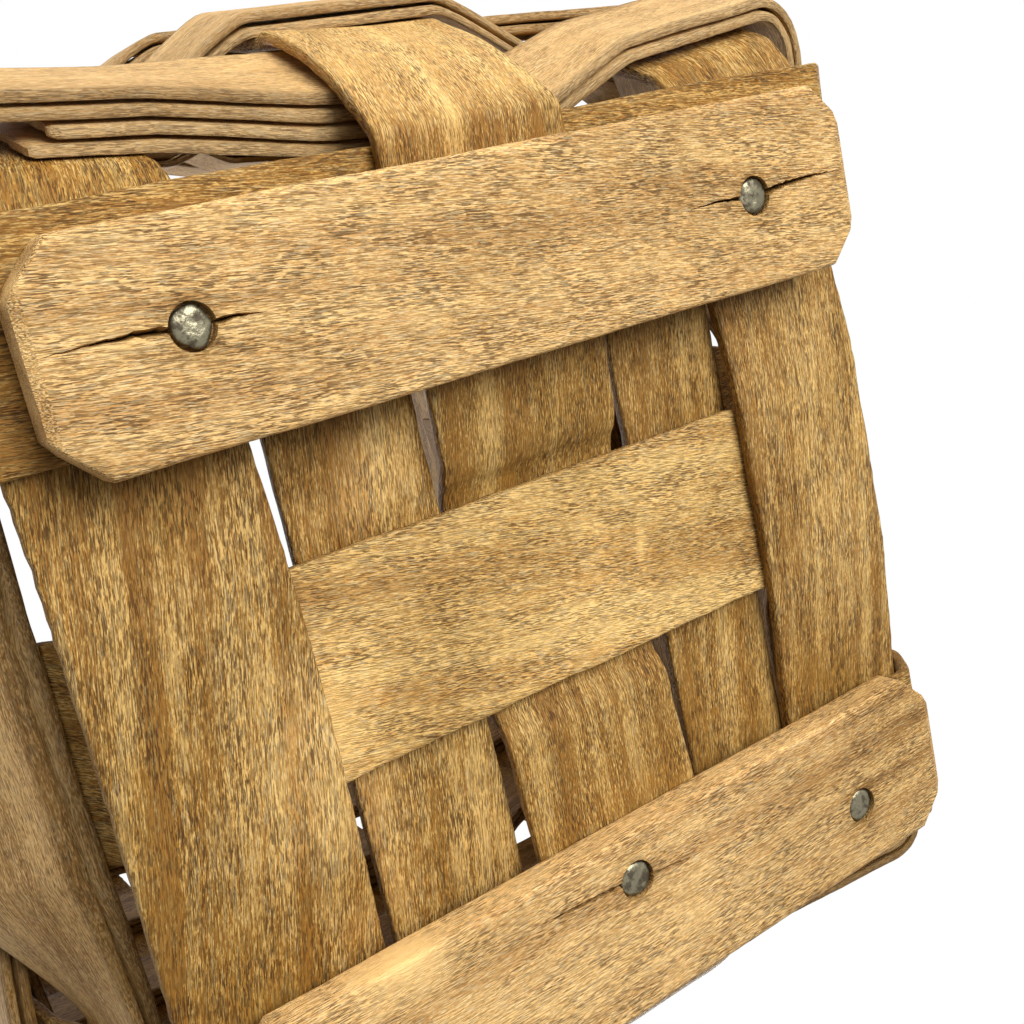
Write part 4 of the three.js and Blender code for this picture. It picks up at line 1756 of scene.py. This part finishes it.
@dataclass(frozen=True)
class Crack:
    """A split in a runner, from a nail towards an end, as points of x and y in millimetres."""

    DEPTH = 3.2
    END_DEPTH_SHARE = 0.12
    END_HALF = 0.02
    JAG = 0.05
    SPACING = 0.9
    TAPER = 0.8
    NARROWEST = 0.8
    UNEVEN = 0.3

    width: float
    points: tuple[tuple[float, float], ...]

    def wedge(self, name: str, seed: int) -> Piece:
        """Makes the thin jagged wedge that the split removes.

        Args:
            name: The wedge's name.
            seed: What its unevenness starts from.

        Returns:
            The closed cutter.
        """
        spine = np.array([[x, y, 0.0] for x, y in self.points])
        x, y, _ = filled_in([spine], self.SPACING)[0].T
        n = len(x)
        rng = np.random.default_rng(seed)
        left = 1 - np.linspace(0, 1, n)
        y[1:-1] += rng.normal(0, self.JAG, n - 2)
        half = self.width / 2 * left**self.TAPER * (self.NARROWEST + self.UNEVEN * rng.random(n))
        half[-1] = self.END_HALF
        above = np.full(n, -CUT_MARGIN)
        deep = self.DEPTH * np.maximum(left, self.END_DEPTH_SHARE)
        rows = ((x, y - half, above), (x, y + half, above), (x, y, deep))
        faces = [[0, 2 * n, n], [n - 1, 2 * n - 1, 3 * n - 1]]
        for k in range(n - 1):
            faces += [[k, k + 1, 2 * n + k + 1, 2 * n + k], [2 * n + k, 2 * n + k + 1, n + k + 1, n + k]]
            faces.append([n + k, n + k + 1, k + 1, k])
        points = np.concatenate([np.column_stack(row) for row in rows])
        return finished(name, new_mesh(name, points, faces), CUT_SHARP_DEGREES)


@dataclass(frozen=True)
class NailSpot:
    """A runner nail: its CAD node and its place."""

    node: str
    x: float
    y: float


@dataclass
class Runner:
    """One nailed runner under the base, with cut corners, worn arrises and splits at its nails."""

    SEAT_SIDES = 32
    SHARP_DEGREES = 50
    ARRIS_REACH = 1.5
    NAIL_SHADE = 0.5
    NAIL_SHADE_REACH = 1.6
    NAIL_SHADE_EDGE = 0.7
    CRACK_INSET = 1.2

    form: BasketForm
    node: str
    line: float
    seed: int
    nails: tuple[NailSpot, ...]
    cracks: tuple[Crack, ...]
    slant: float = 0.0
    tone: float = 0.05
    width: float = 29.4
    end_inset: float = 2.6
    corner_cut: float = 6.0
    edge_radius: float = 0.75
    spacing: float = 1.5
    seat_radius: float = 3.1
    head_radius: float = 3.0
    head_height: float = 1.1
    head_sink: float = 0.15
    head_stretch: float = 0.94
    shank_radius: float = 1.1
    nail_tip_inset: float = 0.9

    @property
    def half_length(self) -> float:
        """Half the runner's length."""
        return self.form.grid_half - self.end_inset

    def body(self) -> Piece:
        """Makes the runner's board.

        Returns:
            The board, still whole.
        """
        x, thick = self.half_length, self.form.runner_thickness
        low, high = self.line - self.width / 2, self.line + self.width / 2
        corners = ((low, 0.0), (high, 0.0), (high, thick), (low, thick))
        strip = Strip(
            f"{self.node}_wood",
            filled_in([np.array([[-x, y, z], [x, y, z]]) for y, z in corners], self.spacing),
            self.seed,
            edge_radius=self.edge_radius,
            face_steps=16,
            rim_step=1.2,
            edge_wander=0.25,
            edge_fray=0.06,
            face_wander=0.0,
            end_ragged=0.0,
            end_cut=self.corner_cut,
        )
        return strip.build()

    def cut(self, board: Piece, cutters: list[Piece]) -> None:
        """Subtracts cutters from a board and removes them.

        Args:
            board: The board.
            cutters: The closed meshes to subtract.
        """
        for cutter in cutters:
            modifier = board.modifiers.new("cut", "BOOLEAN")
            modifier.operation, modifier.solver, modifier.object = "DIFFERENCE", "EXACT", cutter
        graph = bpy.context.evaluated_depsgraph_get()
        made = bpy.data.meshes.new_from_object(board.evaluated_get(graph))
        board.modifiers.clear()
        old, board.data = board.data, made
        made.name = old.name
        bpy.data.meshes.remove(old)
        for cutter in cutters:
            bpy.data.objects.remove(cutter)

    def seat(self, nail: NailSpot) -> Piece:
        """Makes the round cutter that leaves room for a nail's head and shank.

        Args:
            nail: The nail.

        Returns:
            The closed cutter.
        """
        sides = self.SEAT_SIDES
        shank = self.shank_radius + self.form.clearance
        floor = self.head_sink + self.head_height + self.form.clearance
        profile = ((self.seat_radius, -1.0), (self.seat_radius, floor), (shank, floor), (shank, 9.0))
        angle = np.linspace(0, 2 * math.pi, sides, endpoint=False)
        x, y = nail.x, nail.y
        points = [[x + r * math.cos(t), y + r * math.sin(t), z] for r, z in profile for t in angle]
        faces = tube_faces(len(profile), sides)
        faces += [list(range(sides))[::-1], list(range(len(points) - sides, len(points)))]
        name = f"{nail.node}_seat"
        return finished(name, new_mesh(name, np.array(points), faces), CUT_SHARP_DEGREES)

    def set_board_values(self, mesh: Mesh) -> None:
        """Gives a cut board its grain, its stain and painted shade, and its edge values again.

        Args:
            mesh: The board's mesh.
        """
        for name in ("grain", "stain", "edge"):
            layer = mesh.attributes.get(name)
            if layer:
                mesh.attributes.remove(layer)
        points = vertex_places(mesh) / MM
        x, y, z = points[:, 0], points[:, 1] - self.line, points[:, 2]
        side = self.width / 2 - np.abs(y)
        end = self.half_length - np.abs(x)
        corner = (side + end - self.corner_cut) / math.sqrt(2)
        face = np.minimum(z, self.form.runner_thickness - z)
        nearest, second = np.sort(np.stack([side, end, corner, face]), axis=0)[:2]
        near_nail = np.zeros(len(points))
        for nail in self.nails:
            distance = np.hypot(points[:, 0] - nail.x, points[:, 1] - nail.y)
            outside = np.clip(distance - self.seat_radius, 0, None)
            near_nail = np.maximum(near_nail, np.exp(-outside / self.NAIL_SHADE_REACH))
        in_crack = (nearest > self.CRACK_INSET) & (near_nail < self.NAIL_SHADE_EDGE)
        # Painted deep shade inside the splits, on the board's inner points.
        stain = self.tone + self.NAIL_SHADE * near_nail + patched_stain_and_light(points) + DEEP_SHADE * in_crack
        values = {
            "grain": grain_places(x, y + self.slant * x, z, self.seed),
            "stain": np.clip(stain, BAREST, DEEP_SHADE),
            "edge": np.clip(1 - (nearest + second) / self.ARRIS_REACH, 0, 1),
        }
        set_values(mesh, values)

    def build(self) -> None:
        """Builds the runner and its nails in their CAD nodes' stead."""
        board = self.body()
        cutters = [
            crack.wedge(f"{self.node}_wedge_{index}", self.seed * 5 + index)
            for index, crack in enumerate(self.cracks)
        ]
        cutters += [self.seat(nail) for nail in self.nails]
        self.cut(board, cutters)
        self.set_board_values(board.data)
        board.data.set_sharp_from_angle(angle=math.radians(self.SHARP_DEGREES))
        dress(board, self.node, RUNNER_WOOD.material())
        form = self.form
        length = form.base_z + form.layer + form.splint - self.nail_tip_inset - self.head_sink
        sizes = (self.head_radius, self.head_height, self.shank_radius, length)
        for index, nail in enumerate(self.nails):
            made = Fastener(f"{nail.node}_steel", *sizes, self.seed * 3 + index, self.head_stretch)
            piece = made.build(Matrix.Translation(Vector((nail.x, nail.y, self.head_sink)) * MM))
            dress(piece, nail.node, NAIL_STEEL.material())


def make_runners(form: BasketForm) -> list[Runner]:
    """Describes the two runners with their nails and splits.

    Args:
        form: The basket's shared sizes.

    Returns:
        The front and the back runner.
    """
    front_nails = (
        NailSpot("runner_front_nail_left", -47.8, -52.6),
        NailSpot("runner_front_nail_right", 46.1, -51.4),
    )
    front_cracks = (
        Crack(1.5, ((-50.2, -52.7), (-54.0, -53.2), (-60.0, -53.3), (-66.9, -53.2))),
        Crack(1.3, ((-45.4, -52.5), (-42.0, -52.6), (-38.0, -52.3))),
        Crack(0.8, ((43.6, -51.5), (38.0, -51.9), (30.5, -51.6))),
        Crack(1.4, ((48.6, -51.6), (54.0, -52.1), (60.0, -52.3), (67.5, -52.1))),
    )
    back_nails = (
        NailSpot("runner_back_nail_left", -47.4, 52.6),
        NailSpot("runner_back_nail_middle", -2.4, 44.8),
        NailSpot("runner_back_nail_right", 46.9, 55.0),
    )
    back_cracks = (
        Crack(1.3, ((-4.8, 44.4), (-10.0, 43.9), (-16.0, 43.4), (-26.5, 42.7))),
        Crack(0.7, ((0.0, 45.1), (6.0, 45.8), (12.5, 46.5))),
    )
    return [
        Runner(form, "runner_front", -51.8, 31, front_nails, front_cracks, slant=-0.12),
        Runner(form, "runner_back", 51.8, 32, back_nails, back_cracks),
    ]


@dataclass
class Studio:
    """The camera at the photograph's angle, a plain pale floor, and soft light from all round."""

    # Each lamp's name, place in metres, width and power in watts.
    LAMPS = (
        ("lamp_under", (0.3, -0.6, -0.98), 0.8, 18.5),
        ("lamp_left", (-1.3, 0.3, 0.9), 0.9, 5.0),
        ("lamp_front", (-0.3, -1.4, -0.2), 0.9, 10.0),
        ("lamp_behind", (0.9, 1.1, 1.1), 0.9, 16.0),
        ("lamp_above", (-0.3, 0.2, 1.7), 0.9, 9.0),
    )

    camera_place: Triple = (-0.1023, -0.0586, -0.15085)
    camera_right: Triple = (0.80626, 0.21372, -0.5516)
    camera_up: Triple = (0.30301, -0.95005, 0.0748)
    camera_back: Triple = (-0.50806, -0.22745, -0.83075)
    lens: float = 45.536
    sensor: float = 36.0
    clip_range: tuple[float, float] = (0.01, 20.0)
    floor_drop: float = 0.0003
    floor_half: float = 4.0
    floor_colour: Box = (0.86, 0.86, 0.85, 1.0)
    world_light: float = 0.2
    world_colour: Box = (1.0, 0.99, 0.97, 1.0)
    aim: Triple = (0.0, 0.0, 0.08)

    def camera(self) -> None:
        """Makes the camera and makes it the scene's own."""
        data = bpy.data.cameras.new("camera")
        data.sensor_width, data.lens = self.sensor, self.lens
        data.clip_start, data.clip_end = self.clip_range
        turn = Matrix((self.camera_right, self.camera_up, self.camera_back)).transposed()
        made = linked("camera", data)
        made.matrix_world = Matrix.Translation(self.camera_place) @ turn.to_4x4()
        bpy.context.scene.camera = made

    def floor(self) -> None:
        """Makes a pale floor that can be seen only from above."""
        h, z = self.floor_half, -self.floor_drop
        mesh = bpy.data.meshes.new("floor")
        mesh.from_pydata([(-h, -h, z), (h, -h, z), (h, h, z), (-h, h, z)], [], [(0, 1, 2, 3)])
        material = bpy.data.materials.new("Pale floor")
        sheet = NodeSheet.of(material)
        paint = sheet.node("ShaderNodeBsdfDiffuse", {"Color": self.floor_colour})
        clear = sheet.node("ShaderNodeBsdfTransparent")
        behind = sheet.node("ShaderNodeNewGeometry").outputs["Backfacing"]
        mix = sheet.node("ShaderNodeMixShader", {0: behind, 1: paint.outputs[0], 2: clear.outputs[0]})
        sheet.node("ShaderNodeOutputMaterial", {"Surface": mix.outputs[0]})
        mesh.materials.append(material)
        made = linked("floor", mesh)
        made.visible_shadow = made.visible_diffuse = made.visible_glossy = False

    def world(self) -> None:
        """Makes a world that looks white to the camera and lights softly."""
        world = bpy.data.worlds.new("studio")
        sheet = NodeSheet.of(world)
        path = sheet.node("ShaderNodeLightPath").outputs
        seen = sheet.math("MAXIMUM", path["Is Camera Ray"], path["Is Glossy Ray"])
        seen = sheet.math("MAXIMUM", seen, path["Is Transmission Ray"])
        glow = {"Color": self.world_colour, "Strength": self.world_light}
        light = sheet.node("ShaderNodeBackground", glow)
        white = sheet.node("ShaderNodeBackground", {"Color": (1.0, 1.0, 1.0, 1.0)})
        mix = sheet.node("ShaderNodeMixShader", {0: seen, 1: light.outputs[0], 2: white.outputs[0]})
        sheet.node("ShaderNodeOutputWorld", {"Surface": mix.outputs[0]})
        bpy.context.scene.world = world

    def lamp(self, name: str, place: Triple, size: float, power: float) -> None:
        """Adds a soft square lamp that points at the basket.

        Args:
            name: The lamp's name.
            place: Where it hangs, in metres.
            size: Its width.
            power: Its power in watts.
        """
        data = bpy.data.lights.new(name, "AREA")
        data.shape, data.size, data.energy = "SQUARE", size, power
        made = linked(name, data)
        made.location = place
        made.rotation_mode = "QUATERNION"
        made.rotation_quaternion = (Vector(self.aim) - made.location).to_track_quat("-Z", "Y")

    def build(self) -> None:
        """Sets up the whole studio."""
        self.camera()
        self.floor()
        self.world()
        for lamp in self.LAMPS:
            self.lamp(*lamp)
        bpy.context.scene.view_settings.view_transform = "Standard"


def main() -> None:
    """Builds the basket's sub-assemblies and the studio in order."""
    logging.basicConfig(level=logging.INFO, format="%(name)s: %(message)s")
    form = BasketForm()
    BaseGrid(form).build()
    WovenWalls(form).build()
    Rim(form).build()
    for runner in make_runners(form):
        runner.build()
    Studio().build()


if __name__ == "__main__":
    main()
